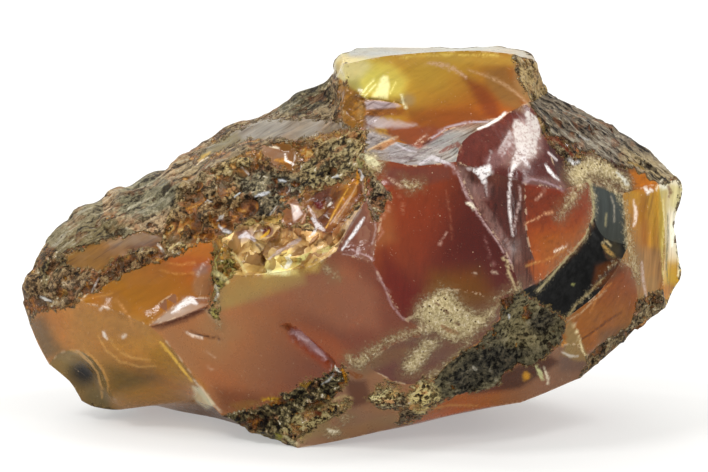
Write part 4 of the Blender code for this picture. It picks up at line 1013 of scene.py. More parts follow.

# Cracks, crests, scuffs, the edges of thin flakes, and painted highlights, glints, sheen and glow, drawn over the
# faces:
# name -> (colour, strength, line of (pixel x, pixel y, half width)).
STROKES = {
    # knob
    "knob_arc": ("BC9A80", 0.75, [(424, 63, 0.6), (438, 64, 2.2), (452, 68, 2.4), (466, 77, 1.2)]),
    "knob_arc_right": ("B4906C", 0.65, [(468, 70, 0.6), (484, 75, 1.3), (500, 82, 1.8), (514, 91, 1.6),
                                        (522, 98, 1.4), (529, 106, 1.0)]),
    "knob_lip": ("5E4A1C", 0.85, [(356, 94, 0.6), (362, 97, 0.9), (380, 98, 0.9), (392, 101, 0.9),
                                  (402, 103, 0.7)]),
    # bright yellow rays: painted sparkle of light off a fracture inside the knob
    "knob_ray_a": ("FFF8A8", 0.9, [(363, 93, 0.7), (368, 86, 1.0), (374, 80, 0.7)]),
    "knob_ray_b": ("FFF8B0", 0.8, [(365, 96, 0.6), (376, 84, 0.7)]),
    "knob_ray_c": ("F8EC90", 0.8, [(390, 94, 0.6), (396, 82, 0.6)]),
    "knob_ray_e": ("E8DA84", 0.7, [(346, 76, 0.8), (352, 80, 0.6)]),
    "knob_smoke_ray": ("E4DCB0", 0.9, [(401, 94, 0.8), (403, 102, 1.0), (406, 108, 0.7)]),
    "knob_gold_line": ("E0C468", 0.7, [(400, 58, 0.6), (440, 55, 0.8), (500, 55, 0.8)]),
    # notch and shelf
    "notch_line": ("DCBEA8", 0.8, [(431, 130, 0.7), (424, 136, 0.6), (415, 144, 0.5)]),
    "notch_crease": ("6A4436", 0.8, [(366, 124, 0.6), (380, 130, 0.7), (398, 137, 0.7), (412, 146, 0.6)]),
    "wedge_edge": ("D8B890", 0.8, [(368, 150, 0.6), (384, 142, 0.6), (398, 136, 0.5)]),
    "shelf_dark_a": ("6C5A5C", 0.7, [(390, 158, 0.8), (410, 159, 0.9), (424, 152, 0.8), (444, 142, 0.7),
                                     (462, 134, 0.5)]),
    "shelf_dark_b": ("7A686C", 0.6, [(400, 150, 0.6), (418, 150, 0.7), (434, 140, 0.7), (452, 130, 0.6)]),
    # pale violet painted sheen on the shelf
    "shelf_sheen_a": ("C8C0C8", 0.7, [(396, 144, 0.7), (408, 150, 0.8), (416, 152, 0.7)]),
    "shelf_sheen_b": ("C4BAC2", 0.7, [(432, 138, 0.7), (448, 127, 0.9), (470, 122, 0.9), (488, 122, 0.6)]),
    "shelf_sheen_c": ("CFC8CC", 0.8, [(420, 164, 1.0), (432, 158, 2.0), (444, 162, 1.6), (452, 165, 0.8)]),
    "shelf_brown": ("7A4A40", 0.85, [(440, 152, 1.0), (448, 148, 2.4), (458, 144, 2.2), (462, 152, 1.0)]),
    # a painted highlight along the shelf's edge
    "shelf_crest": ("FFF6EE", 1.0, [(478, 129, 0.8), (488, 125, 1.2), (498, 119, 1.3), (506, 113, 1.0)]),
    # glare face and spine
    # the burst is a painted reflection of a softbox: white, crossed by fine lines and feathers
    "burst_high": ("D8D0CA", 0.88, [(528, 114, 3), (533, 122, 6.5), (532, 134, 8)]),
    "burst_core": ("DCD4CE", 0.88, [(517, 124, 4), (521, 132, 8), (526, 142, 11), (530, 151, 7)]),
    "burst_foot": ("E4DCD8", 0.86, [(524, 150, 6), (517, 160, 5), (513, 168, 2.5)]),
    "burst_toe": ("ECE6E6", 0.8, [(524, 158, 2.5), (529, 166, 1.2)]),
    "burst_wing": ("C8BAB8", 0.6, [(510, 136, 2), (504, 146, 3), (499, 153, 1.5)]),
    "burst_line_a": ("C8B8B4", 0.9, [(512, 138, 0.2), (526, 133, 0.4), (540, 129, 0.4)]),
    "burst_line_b": ("C8B8B4", 0.9, [(512, 143, 0.2), (528, 140, 0.4), (541, 138, 0.4)]),
    "burst_line_c": ("C8B8B4", 0.9, [(513, 148, 0.2), (526, 148, 0.4), (541, 148, 0.4)]),
    "burst_line_d": ("B8A4A0", 0.9, [(512, 153, 0.2), (524, 155, 0.4), (536, 157, 0.4)]),
    "burst_line_e": ("C8B8B4", 0.8, [(529, 108, 0.3), (531, 120, 0.4), (530, 132, 0.2)]),
    "burst_line_i": ("C8B8B4", 0.9, [(510, 134, 0.2), (520, 128, 0.4), (530, 124, 0.2)]),
    "burst_line_k": ("9C8480", 0.9, [(522, 158, 0.2), (528, 160, 0.5), (534, 158, 0.3)]),
    "burst_line_h": ("B8A4A0", 0.8, [(511, 158, 0.2), (519, 162, 0.4), (526, 166, 0.2)]),
    "burst_feather_a": ("D8CCCA", 0.8, [(510, 132, 0.8), (504, 142, 0.7), (500, 148, 0.4)]),
    "burst_feather_b": ("D8CCCA", 0.8, [(511, 142, 0.8), (506, 150, 0.7), (501, 158, 0.4)]),
    # the star is a painted highlight: white, with short rays
    "star_core": ("F8F6F6", 0.92, [(474, 170, 1.5), (481, 172, 4.5), (486, 171, 5.5), (488, 167, 3)]),
    "star_core_low": ("F4F0F0", 0.9, [(482, 174, 4), (484, 180, 2.5), (485, 184, 1)]),
    "star_ray_a": ("D8CCCA", 0.7, [(487, 166, 0.7), (490, 158, 0.4), (491, 150, 0.3)]),
    "star_ray_d": ("D8CCCA", 0.7, [(473, 170, 0.6), (466, 168, 0.3)]),
    "star_ray_f": ("D8CCCA", 0.7, [(485, 182, 0.6), (487, 196, 0.3)]),
    # a painted highlight along the glare face's raised ridge, and fainter painted sheen behind it
    "crest": ("F4ECEA", 1.0, [(516, 163, 1.4), (512, 170, 1.3), (510, 182, 0.9), (509, 198, 1.0), (510, 214, 0.7),
                              (513, 236, 0.4)]),
    "crest_back": ("C8B0AA", 0.8, [(513, 232, 0.6), (517, 214, 0.7), (520, 200, 1.0), (520, 186, 0.6)]),
    "spine_edge": ("B89C9A", 0.85, [(452, 165, 1.0), (460, 178, 1.0), (464, 190, 1.2), (471, 203, 1.2),
                                    (480, 217, 0.9), (492, 234, 0.8), (504, 252, 0.7), (512, 264, 0.6)]),
    "spine_chip": ("E8DCC8", 0.95, [(468, 203, 1.4), (472, 205, 1.8), (474, 209, 0.8)]),
    "spine_fringe": ("C8B48C", 0.9, [(503, 258, 0.7), (508, 262, 1.2), (508, 272, 1.2), (513, 282, 1.2),
                                     (516, 290, 1.0)]),
    "glare_bow": ("A48C92", 0.85, [(522, 183, 0.7), (532, 179, 0.9), (546, 182, 0.9), (562, 189, 0.8)]),
    # painted highlights on the brow
    "brow_highlight_a": ("F8F4F4", 0.95, [(546, 165, 0.8), (549, 170, 1.7), (554, 176, 1.2), (559, 180, 0.6)]),
    "brow_highlight_b": ("ECE0E0", 0.9, [(548, 152, 0.7), (552, 156, 0.9), (557, 160, 0.6)]),
    # ember face
    "ember_crack_a": ("D4A078", 0.8, [(524, 224, 0.6), (534, 220, 0.6), (544, 214, 0.7), (552, 212, 0.6)]),
    "ember_crack_b": ("D8B098", 0.8, [(536, 200, 0.5), (541, 195, 0.7), (544, 190, 0.6)]),
    "ember_glint_a": ("F8E4CC", 0.9, [(554, 252, 0.8), (559, 249, 1.1), (566, 246, 0.6)]),
    "ember_step": ("C49458", 0.6, [(526, 266, 0.6), (538, 262, 0.8), (552, 258, 0.7), (566, 248, 0.6)]),
    # coal
    "coal_vein": ("B8AA80", 0.85, [(589, 180, 1.0), (593, 196, 1.1), (594, 210, 1.0), (591, 224, 0.8),
                                   (584, 238, 0.8), (572, 252, 0.7), (558, 268, 0.9), (546, 282, 1.0),
                                   (538, 290, 0.9)]),
    "coal_vein_low": ("A89468", 0.8, [(618, 264, 0.8), (604, 276, 0.7), (592, 290, 0.8), (576, 305, 0.7),
                                      (568, 316, 0.9)]),
    "patch_pit_a": ("5E3A22", 0.85, [(436, 303, 0.9), (439, 305, 1.1)]),
    "patch_pit_b": ("5A3822", 0.85, [(444, 309, 0.8), (447, 312, 1.1)]),
    "patch_pit_e": ("5A3822", 0.85, [(455, 322, 0.9), (459, 325, 1.2)]),
    "patch_rust": ("8E5E3C", 0.7, [(442, 326, 1.6), (450, 331, 2.2), (458, 333, 1.4)]),
    "coal_ochre_a": ("948C6C", 0.8, [(606, 214, 0.9), (605, 226, 0.8)]),
    "coal_ochre_b": ("A09888", 0.7, [(611, 196, 0.7), (614, 206, 0.8), (614, 222, 0.6)]),
    "coal_spot_a": ("8C8C58", 0.8, [(572, 284, 0.8), (574, 284, 0.8)]),
    "coal_edge": ("121210", 0.8, [(590, 224, 1.0), (592, 232, 1.6), (598, 240, 1.0)]),
    # brow and right end
    "nodule": ("A0804C", 0.95, [(603, 245, 1.2), (608, 251, 2.2), (614, 256, 1.2)]),
    "nodule_pale": ("C8B488", 0.8, [(602, 243, 0.6), (606, 241, 0.9), (611, 246, 0.6)]),
    "nodule_dark": ("4A3218", 0.8, [(604, 252, 0.6), (608, 258, 1.0), (616, 260, 0.6)]),
    "brow_chip": ("F4F2F0", 1.0, [(569, 159, 1.2), (573, 163, 1.8), (579, 162, 1.0)]),
    "brow_rust": ("7E3A1E", 0.85, [(546, 138, 1.5), (556, 140, 2.6), (566, 150, 2.2), (572, 156, 1.0)]),
    "brow_pale": ("D8D8CC", 0.8, [(616, 172, 0.8), (622, 177, 1.8), (627, 184, 1.6)]),
    "brow_dark": ("4A2414", 0.85, [(610, 160, 1.0), (616, 167, 1.6), (626, 172, 0.8)]),
    "end_glint_a": ("FCF4EC", 0.95, [(645, 188, 1.0), (648, 192, 2.0), (652, 190, 1.2)]),
    "end_glint_b": ("F4E0D0", 0.9, [(634, 202, 0.8), (637, 212, 2.0), (636, 220, 1.4), (634, 226, 0.8)]),
    "end_glint_c": ("F0E4C8", 0.9, [(656, 190, 0.8), (659, 184, 1.0), (662, 180, 0.7)]),
    "end_vein_a": ("8C6A2C", 0.7, [(657, 196, 0.6), (656, 216, 0.7), (652, 240, 0.6)]),
    "end_vein_b": ("E0D084", 0.7, [(663, 200, 0.6), (664, 220, 0.8), (662, 250, 0.7), (663, 276, 0.8)]),
    "end_fibre": ("C0AAA0", 0.7, [(642, 262, 1.0), (643, 280, 1.6), (646, 296, 1.2)]),
    "thin_border": ("62603C", 0.85, [(668, 214, 0.6), (668, 232, 0.9), (667, 250, 0.9), (666, 268, 0.8),
                                     (668, 284, 0.6)]),
    # painted glow of light shining through the thin edge
    "thin_edge_glow": ("F8F8E0", 0.9, [(672, 226, 0.8), (673, 236, 2.0), (672, 246, 1.0)]),
    "thin_edge_glow_low": ("F0ECC8", 0.8, [(677, 250, 0.8), (680, 264, 1.6), (678, 276, 0.8)]),
    "corner_dark": ("6A4030", 0.8, [(668, 186, 1.0), (671, 192, 2.0), (669, 198, 0.8)]),
    # cheek
    "cheek_arc_a": ("C48850", 0.6, [(612, 282, 0.5), (598, 296, 0.7), (590, 312, 0.6)]),
    "cheek_crack": ("3E2A1C", 0.85, [(580, 340, 0.6), (590, 334, 0.7), (606, 322, 0.7), (622, 312, 0.5)]),
    "cheek_rim": ("C0A27C", 0.7, [(568, 320, 0.6), (580, 314, 0.7), (594, 300, 0.7), (606, 290, 0.6)]),
    "cheek_rim_dark": ("3E2418", 0.8, [(596, 282, 1.0), (608, 272, 1.6), (618, 264, 1.0)]),
    # hollow and lobe
    "hollow_line_a": ("D49A54", 0.6, [(160, 270, 0.5), (176, 274, 0.7), (198, 273, 0.5)]),
    "hollow_line_b": ("D8A25C", 0.6, [(166, 263, 0.5), (182, 265, 0.7), (194, 263, 0.5)]),
    "hollow_scallop": ("CC9660", 0.7, [(116, 298, 0.7), (123, 308, 0.8), (130, 318, 0.7), (132, 326, 0.5)]),
    "hollow_lip": ("C08A48", 0.5, [(66, 306, 0.6), (90, 298, 0.8), (110, 294, 0.7), (128, 284, 0.6)]),
    "bulge_ray_a": ("D4C0B4", 0.8, [(198, 274, 0.5), (202, 266, 0.7), (209, 260, 0.5)]),
    "seam_light": ("E4DCC8", 0.9, [(217, 286, 0.7), (218, 294, 1.1), (214, 302, 0.8)]),
    "lobe_arc_a": ("CFA064", 0.75, [(70, 350, 0.7), (80, 353, 1.3), (90, 362, 1.4), (97, 374, 1.3),
                                    (102, 388, 1.0), (102, 398, 0.6)]),
    "lobe_arc_b": ("6E5430", 0.7, [(72, 356, 0.6), (84, 362, 0.9), (92, 374, 0.9), (95, 388, 0.7)]),
    "lobe_arc_c": ("C8985C", 0.7, [(84, 350, 0.5), (94, 358, 0.8), (103, 370, 0.9), (108, 382, 0.8),
                                   (108, 392, 0.5)]),
    "lobe_arc_f": ("D4A868", 0.7, [(98, 336, 0.5), (106, 350, 0.7), (120, 361, 0.8), (140, 367, 0.7),
                                   (156, 366, 0.5)]),
    "lobe_arc_g": ("D8AC6C", 0.7, [(110, 340, 0.5), (118, 350, 0.7), (132, 358, 0.8), (150, 360, 0.5)]),
    "lobe_chip_a": ("E4D8CC", 0.95, [(103, 331, 0.8), (105, 336, 1.8), (107, 339, 0.8)]),
    "lobe_chip_b": ("DCCCBC", 0.9, [(121, 335, 1.0), (124, 337, 1.9), (126, 334, 0.8)]),
    "lobe_chip_d": ("E8D8C8", 0.9, [(100, 309, 0.6), (104, 307, 1.0), (108, 308, 0.6)]),
    # a painted highlight, gold, along the lobe's edge ridge
    "ridge_highlight_gold": ("E0B454", 0.95, [(160, 342, 0.9), (170, 353, 1.1), (181, 367, 1.2), (192, 381, 0.9)]),
    "edge_pale": ("D8C0A4", 0.8, [(194, 380, 0.8), (204, 392, 1.0), (213, 404, 1.0), (221, 412, 0.8)]),
    # pink face
    # the ledge's white core is a painted highlight, and the dark line under it painted shade
    "ledge_core": ("F8F2F0", 0.95, [(172, 313, 0.8), (182, 305, 2.6), (191, 300, 3.2), (197, 304, 1.0)]),
    "ledge_shade_line": ("4E3024", 0.9, [(152, 327, 0.5), (172, 322, 1.6), (192, 314, 2.0), (208, 307, 0.9)]),
    "crack_light": ("E8D0BC", 0.95, [(186, 332, 0.7), (194, 336, 1.3), (202, 338, 0.9)]),
    "crack_dark": ("3E2418", 0.9, [(190, 331, 0.5), (202, 336, 0.8), (214, 338, 0.8), (222, 339, 0.5)]),
    "scuff_a": ("C8A488", 0.6, [(204, 350, 0.5), (210, 354, 0.6), (216, 358, 0.5)]),
    "scuff_d": ("C8A488", 0.6, [(207, 366, 0.5), (212, 370, 0.7), (216, 366, 0.5)]),
    # pale violet streaks along the gouge's floor: painted highlight
    "gouge_highlight_streak_a": ("D8BCC0", 0.85, [(290, 334, 0.7), (298, 340, 1.0), (306, 344, 0.6)]),
    "gouge_highlight_streak_b": ("D0B0B4", 0.8, [(312, 352, 0.6), (318, 356, 1.0), (324, 362, 0.6)]),
    "ridge_hook": ("B09090", 0.8, [(352, 250, 0.5), (372, 258, 0.6), (384, 286, 0.7), (392, 306, 0.7),
                                   (404, 320, 0.6)]),
    # bevel
    # the bevel's white streak is a painted highlight, and the grey-mauve band beside it painted sheen
    "bevel_crest": ("F4F0F0", 1.0, [(364, 218, 1.0), (360, 224, 1.5), (354, 233, 1.5), (348, 241, 1.1),
                                    (342, 250, 0.6)]),
    "bevel_sheen": ("8E7C74", 0.7, [(360, 210, 1.5), (350, 224, 2.8), (342, 236, 2.4), (337, 246, 1.0)]),
    "bevel_line_a": ("C0A488", 0.8, [(357, 184, 0.6), (350, 198, 0.8), (342, 212, 0.8), (334, 222, 0.7)]),
    "bevel_line_b": ("B89A8A", 0.8, [(362, 180, 0.7), (364, 194, 0.9), (370, 206, 0.9), (374, 216, 0.6)]),
    "bevel_line_c": ("A88C84", 0.7, [(374, 218, 0.8), (376, 230, 1.2), (372, 244, 1.0)]),
    "bevel_gold": ("D08A20", 0.9, [(356, 172, 1.0), (358, 178, 2.0), (357, 184, 1.0)]),
    "bevel_white": ("F0ECE8", 0.95, [(360, 170, 0.8), (362, 175, 1.4), (361, 180, 0.7)]),
    # red face
    "red_arc_a": ("B8866C", 0.7, [(386, 190, 0.6), (390, 198, 0.8), (388, 208, 0.8), (380, 220, 0.6)]),
    "red_arc_b": ("B07C60", 0.6, [(400, 196, 0.5), (403, 206, 0.7), (402, 218, 0.5)]),
    "red_arc_c": ("A87460", 0.6, [(378, 222, 0.8), (383, 232, 1.2), (378, 240, 0.8)]),
    "red_crack_a": ("C8A090", 0.7, [(438, 247, 0.4), (442, 240, 0.5), (447, 233, 0.4)]),
    "red_crack_c": ("8E6460", 0.7, [(484, 236, 0.4), (488, 248, 0.6), (494, 266, 0.5)]),
    "red_scratch_a": ("94604C", 0.5, [(446, 190, 0.4), (450, 214, 0.5), (452, 240, 0.4)]),
    "red_top_line": ("C8A890", 0.8, [(386, 176, 0.6), (394, 182, 1.0), (402, 187, 0.8)]),
    "speckle_a": ("B8A08C", 0.8, [(474, 273, 1.0), (476, 274, 1.0)]),
    "speckle_c": ("C0A894", 0.8, [(492, 271, 1.1), (496, 273, 1.2)]),
    # chips
    "flank_line_a": ("E0A848", 0.8, [(326, 228, 0.6), (334, 212, 1.0), (342, 198, 0.8), (348, 188, 0.5)]),
    "flank_line_b": ("5A3014", 0.8, [(318, 226, 0.6), (326, 212, 1.0), (336, 198, 0.8)]),
    "flank_line_c": ("C8A898", 0.8, [(330, 224, 0.5), (340, 210, 0.8), (350, 196, 0.5)]),
    "flank_spot": ("F0E8DC", 0.9, [(328, 206, 0.8), (331, 203, 1.4)]),
    "chip_crumb_a": ("B49A5C", 0.8, [(246, 224, 0.8), (252, 222, 1.6), (258, 223, 0.8)]),
    "chip_crumb_b": ("A88C50", 0.8, [(262, 220, 0.8), (270, 219, 1.4), (278, 217, 0.8)]),
    "chip_crumb_c": ("BCA468", 0.8, [(318, 250, 0.8), (326, 247, 1.6), (332, 243, 0.8)]),
    # mauve-grey painted sheen on the chips' facets
    "chip_sheen": ("C0AAA2", 0.9, [(270, 262, 0.8), (278, 252, 2.2), (290, 244, 3.2), (297, 237, 2.0)]),
    "chip_sheen_dark": ("8E7A70", 0.7, [(274, 258, 0.6), (284, 250, 1.2), (294, 244, 0.8)]),
    # painted glints on the facets
    "chip_flash": ("FFFEF0", 1.0, [(283, 267, 1.2), (287, 262, 2.6), (291, 257, 1.4)]),
    "chip_flash_low": ("F0EAB0", 0.9, [(266, 272, 1.4), (276, 273, 1.8), (290, 272, 1.0)]),
    "chip_gold_a": ("E0B040", 0.9, [(262, 238, 1.0), (266, 234, 1.8), (268, 230, 0.8)]),
    # painted glints on the facets
    "chip_white_a": ("F0E8E4", 0.9, [(311, 238, 0.8), (314, 233, 1.8), (316, 228, 0.8)]),
    "chip_white_b": ("E8DEE0", 0.9, [(240, 238, 1.2), (248, 236, 2.8), (254, 240, 1.6)]),
    "chip_white_c": ("E8E0E0", 0.9, [(312, 218, 1.2), (318, 226, 2.6), (324, 230, 1.2)]),
    "chip_white_d": ("DDD0D0", 0.8, [(308, 206, 0.8), (313, 214, 1.6), (316, 220, 0.8)]),
    "chip_olive_edge": ("C8C078", 0.9, [(296, 262, 1.2), (304, 258, 3.0), (312, 252, 1.2)]),
    "chip_olive_edge_b": ("BCAE68", 0.9, [(318, 252, 1.2), (326, 248, 2.6), (330, 244, 1.0)]),
    "chip_dark_a": ("4A3018", 0.8, [(256, 244, 1.0), (264, 252, 1.8), (262, 262, 0.8)]),
    "chip_dark_b": ("5A3A1C", 0.8, [(316, 246, 1.0), (322, 240, 1.8), (330, 234, 1.0)]),
    "chip_pit": ("6A4A10", 0.9, [(226, 268, 2.0), (229, 272, 2.8)]),
    "chip_tail": ("D8CC90", 0.9, [(214, 272, 2.0), (222, 276, 2.6), (228, 282, 1.4)]),
    "chip_rim": ("D4C48A", 0.8, [(232, 252, 1.0), (240, 262, 1.6), (246, 272, 1.0)]),
    "shard_line_a": ("C89C80", 0.9, [(302, 222, 0.6), (306, 214, 0.7), (310, 208, 0.5)]),
    # low on the front
    "low_streak_a": ("B8A070", 0.8, [(332, 400, 1.0), (344, 396, 1.4), (352, 398, 0.8)]),
    "low_streak_b": ("A8906A", 0.8, [(330, 418, 0.8), (342, 408, 1.2), (352, 404, 0.6)]),
    "low_crumb": ("E0D4B8", 0.95, [(328, 429, 0.8), (333, 432, 1.8), (338, 431, 0.8)]),
    "low_glass": ("D8CCA0", 0.9, [(286, 436, 1.2), (292, 442, 1.8), (300, 444, 0.8)]),
    "keel_line_a": ("BC8A50", 0.7, [(420, 410, 0.6), (450, 405, 0.9), (480, 406, 0.6)]),
    "keel_glint": ("E8DCC0", 0.9, [(544, 368, 0.6), (547, 376, 1.2), (548, 384, 0.8)]),
    "keel_green": ("C8C894", 0.9, [(536, 366, 0.8), (540, 373, 2.4), (543, 380, 1.0)]),
    "cheek_fire_b": ("D89A50", 0.9, [(566, 340, 0.8), (562, 346, 1.2)]),
    "chip_edge": ("E8D8A8", 0.95, [(572, 322, 0.6), (578, 334, 0.8), (583, 352, 0.8), (588, 358, 0.5)]),
    "keel_white": ("CFC8BC", 0.8, [(562, 352, 0.8), (570, 356, 1.2), (578, 356, 0.6)]),
    # glints and coloured glass in the rind
    "knot_a": ("D8D2A8", 0.85, [(362, 156, 2.0), (369, 160, 4.5), (377, 164, 2.6)]),
    "knot_b": ("ACA66C", 0.8, [(358, 160, 1.5), (362, 166, 2.2)]),
    "knot_c": ("8E8250", 0.7, [(368, 168, 1.2), (374, 172, 1.6)]),
    "eye_orange": ("B87E28", 0.8, [(275, 160, 1.2), (283, 160, 2.6), (291, 162, 1.4)]),
    "eye_glint": ("FFF6EC", 1.0, [(285, 154, 0.8), (286, 160, 1.4), (293, 164, 0.9)]),
    "eye_glint_high": ("E8DCC0", 0.9, [(270, 146, 0.7), (275, 147, 1.2), (279, 148, 0.6)]),
    "glint_a": ("E6E6EA", 1.0, [(256, 197, 0.7), (264, 194, 1.6), (269, 192, 0.6)]),
    "glint_b": ("DADCE0", 1.0, [(277, 180, 0.6), (282, 181, 1.4), (287, 183, 0.6)]),
    "glint_c": ("E8DCD0", 1.0, [(240, 167, 0.5), (245, 170, 1.0), (247, 174, 0.5)]),
    "glint_d": ("CFDCE4", 1.0, [(235, 198, 0.6), (240, 195, 1.0)]),
    "glint_e": ("F0E8E0", 1.0, [(215, 220, 0.6), (221, 217, 1.2), (224, 216, 0.6)]),
    "glint_f": ("E0DCDC", 1.0, [(217, 224, 0.6), (223, 226, 1.5), (228, 229, 0.7)]),
    "glint_g": ("E8E4DC", 1.0, [(205, 201, 0.5), (211, 202, 0.7)]),
    "glint_h": ("F0F0F0", 1.0, [(333, 178, 0.6), (339, 177, 0.9)]),
    "glint_j": ("ECECE4", 1.0, [(158, 245, 0.6), (162, 249, 0.9)]),
    "glint_k": ("F6F2EA", 1.0, [(41, 297, 1.0), (46, 299, 1.6), (51, 301, 0.6)]),
    "glint_l": ("E8DCD4", 0.9, [(99, 278, 0.5), (96, 284, 0.9), (92, 290, 0.5)]),
    "glint_m": ("E4D0B0", 0.9, [(88, 293, 0.4), (84, 297, 0.7), (80, 301, 0.4)]),
    "glint_o": ("D8D0C8", 1.0, [(286, 191, 0.5), (290, 188, 0.7)]),
    "glint_p": ("E0D8D0", 0.9, [(271, 216, 0.4), (275, 209, 0.6), (277, 206, 0.4)]),
    "glint_t": ("D8C8B0", 0.9, [(196, 166, 0.4), (203, 160, 0.7), (209, 157, 0.4)]),
    "band_glint_a": ("ECE8DC", 1.0, [(334, 366, 0.6), (337, 370, 1.2), (341, 373, 0.6)]),
    "band_glint_b": ("D8D8D4", 0.9, [(322, 384, 0.5), (330, 378, 0.9), (334, 374, 0.5)]),
    "band_amber_a": ("C88818", 0.95, [(342, 370, 1.2), (345, 375, 1.8), (346, 382, 0.9)]),
    "band_amber_b": ("7E4A1C", 0.9, [(350, 372, 1.6), (357, 376, 3.0), (362, 376, 1.6)]),
    "band_amber_c": ("6E3A12", 0.9, [(316, 412, 1.6), (320, 414, 2.2)]),
    "band_gold_a": ("B48A28", 0.9, [(262, 400, 1.0), (270, 398, 1.8), (278, 400, 0.9)]),
    "band_gold_b": ("A88030", 0.85, [(300, 384, 0.9), (306, 386, 1.5), (310, 382, 0.8)]),
    "band_gold_c": ("A8A048", 0.9, [(276, 434, 1.0), (281, 437, 1.8)]),
    "hollow_spark": ("F0F0F0", 1.0, [(508, 314, 0.8), (509, 318, 1.0)]),
    "hollow_bead": ("D8D0BC", 0.9, [(473, 366, 1.2), (475, 368, 1.6)]),
    "shoulder_glint_a": ("B8B4B0", 0.8, [(578, 138, 0.7), (584, 139, 1.0), (588, 140, 0.6)]),
    "shoulder_ochre_a": ("9A7C40", 0.8, [(628, 163, 1.2), (638, 166, 1.6), (646, 172, 1.0)]),
    "shoulder_ochre_b": ("8E7444", 0.8, [(538, 118, 1.0), (542, 126, 1.6), (544, 132, 0.8)]),
}

# Rings of a shell-like fracture: face -> (centre pixel, ring width and height in millimetres).
RINGS = {
    "lobe_face": ((78, 300), 2.4, 0.010), "thumbprint": ((62, 392), 2.2, 0.012),
    "orange_hollow": ((190, 330), 2.2, 0.012), "pink_face": ((120, 250), 2.6, 0.006),
    "red_face": ((400, 100), 2.2, 0.008), "knob_front": ((400, 170), 1.6, 0.010),
    "right_end": ((720, 240), 2.2, 0.004), "ember_face": ((480, 260), 2.4, 0.010),
    "glare_face": ((600, 100), 1.1, 0.012), "shelf": ((430, 240), 0.9, 0.008),
    "amber_cheek": ((560, 240), 2.2, 0.010), "knob_notch": ((380, 60), 1.0, 0.040),
    "spine_face": ((360, 200), 0.8, 0.008), "far_scar": ((200, 200), 1.5, 0.030),
    "far_pane": ((520, 150), 1.7, 0.030), "hem_right": ((450, 380), 1.4, 0.030),
}
# Dishes broken out of the glass: (pixel, half width, half height, depth in millimetres).
DISHES = [((203, 283), 12, 16, -0.5), ((84, 376), 22, 18, 0.5),
          ((445, 312), 24, 16, -0.25), ((640, 212), 5, 10, 0.3), ((385, 190), 10, 8, -0.3)]
SHATTER_OUTLINES = [
    (GLASS_OUTLINES["flank_strip"], 0.9), (GLASS_OUTLINES["shard"], 0.5), (GLASS_OUTLINES["column"], 0.5),
    ([(216, 262), (325, 258), (316, 276), (218, 280)], 0.5),
    ([(336, 190), (372, 186), (376, 230), (350, 250), (330, 246)], 0.2),
]
FURROWED = {
    "slope_left": 0.9, "slope_middle": 0.7, "slope_top": 0.8, "shoulder": 1.0, "knob_side": 0.6, "tip_rind": 0.3,
    "slope_front": 0.15, "back_right": 0.9, "back_left": 0.6, "nape": 0.6, "nape_left": 0.5, "back_top": 0.6,
    "far_spine": 0.6, "far_upper": 0.5, "far_left": 0.5, "far_right": 0.5, "hem_left": 0.5, "hem_middle": 0.5,
}
# Where the rind's grains are less contrasty.
CALM = {"rotten_hollow": 0.85, "slope_left": 0.6, "slope_middle": 0.2, "cheek_rind": 0.3, "knob_side": 0.7}
# How streaky each glassy face is: positive upright, negative aslant.
STREAKS = {
    "spine_face": 0.8, "right_end": 0.5, "thin_edge": 0.4, "red_face": 0.15, "glare_face": 0.4, "coal_upper": 0.3,
    "shelf": -1.0, "knob_notch": -0.7, "window": -0.7, "ember_face": -0.35, "knob_top": -0.25, "brow": -0.6,
    "lobe_face": -0.2, "orange_hollow": -0.15, "amber_cheek": -0.3, "knob_front": -0.15,
}
SHATTERED = {"chips": 1.0, "bevel": 0.2, "knob_notch": 0.12, "shelf": 0.10, "step_wall": 0.3}

# ---------------------------------------------------------------------------------------------
# Reading the outlines on the surface
# ---------------------------------------------------------------------------------------------
def to_picture(places):
    """Where each place falls on the picture, in pixels."""
    offset = places - np.array(EYE)
    depth = offset @ np.array(SIGHT)
    focal = CAMERA_LENS / SENSOR_WIDTH * PICTURE[0]
    across = PICTURE[0] / 2 + focal * offset[:, 0] / depth
    down = PICTURE[1] / 2 - focal * (offset @ np.array(SIGHT_UP)) / depth
    return np.stack([across, down], axis=1)


def segment_gaps(points, start, end):
    """Distance from each point to a segment, and how far along it the nearest place is."""
    run = np.subtract(end, start)
    share = np.clip((points - start) @ run / max(run @ run, 1e-9), 0, 1)
    return np.linalg.norm(points - start - share[:, None] * run, axis=1), share


def inside_by(points, outline):
    """Pixels that each point lies inside an outline, negative outside it."""
    corners = np.array(outline, float)
    nearest = np.full(len(points), 1e9)
    inside = np.zeros(len(points), bool)
    for start, end in zip(corners, np.roll(corners, -1, axis=0)):
        nearest = np.minimum(nearest, segment_gaps(points, start, end)[0])
        spans = (start[1] > points[:, 1]) != (end[1] > points[:, 1])
        slope = (end[0] - start[0]) / ((end[1] - start[1]) or 1e-9)
        inside ^= spans & (points[:, 0] < start[0] + (points[:, 1] - start[1]) * slope)
    return np.where(inside, nearest, -nearest)


def inside_line(points, line):
    """The same for a line of (pixel x, pixel y, half width)."""
    best = np.full(len(points), -1e9)
    for start, end in zip(line, line[1:]):
        gap, share = segment_gaps(points, np.array(start[:2], float), np.array(end[:2], float))
        best = np.maximum(best, start[2] + share * (end[2] - start[2]) - gap)
    return best


def near_line(points, line):
    """The numbers of the points in the box round a line."""
    low, high = (np.array(pick([spot[:2] for spot in line], axis=0)) for pick in (np.min, np.max))
    return np.flatnonzero(np.all((points > low - 8) & (points < high + 8), axis=1))


def ease(values, low, high):
    share = np.clip((values - low) / (high - low), 0, 1)
    return share * share * (3 - 2 * share)


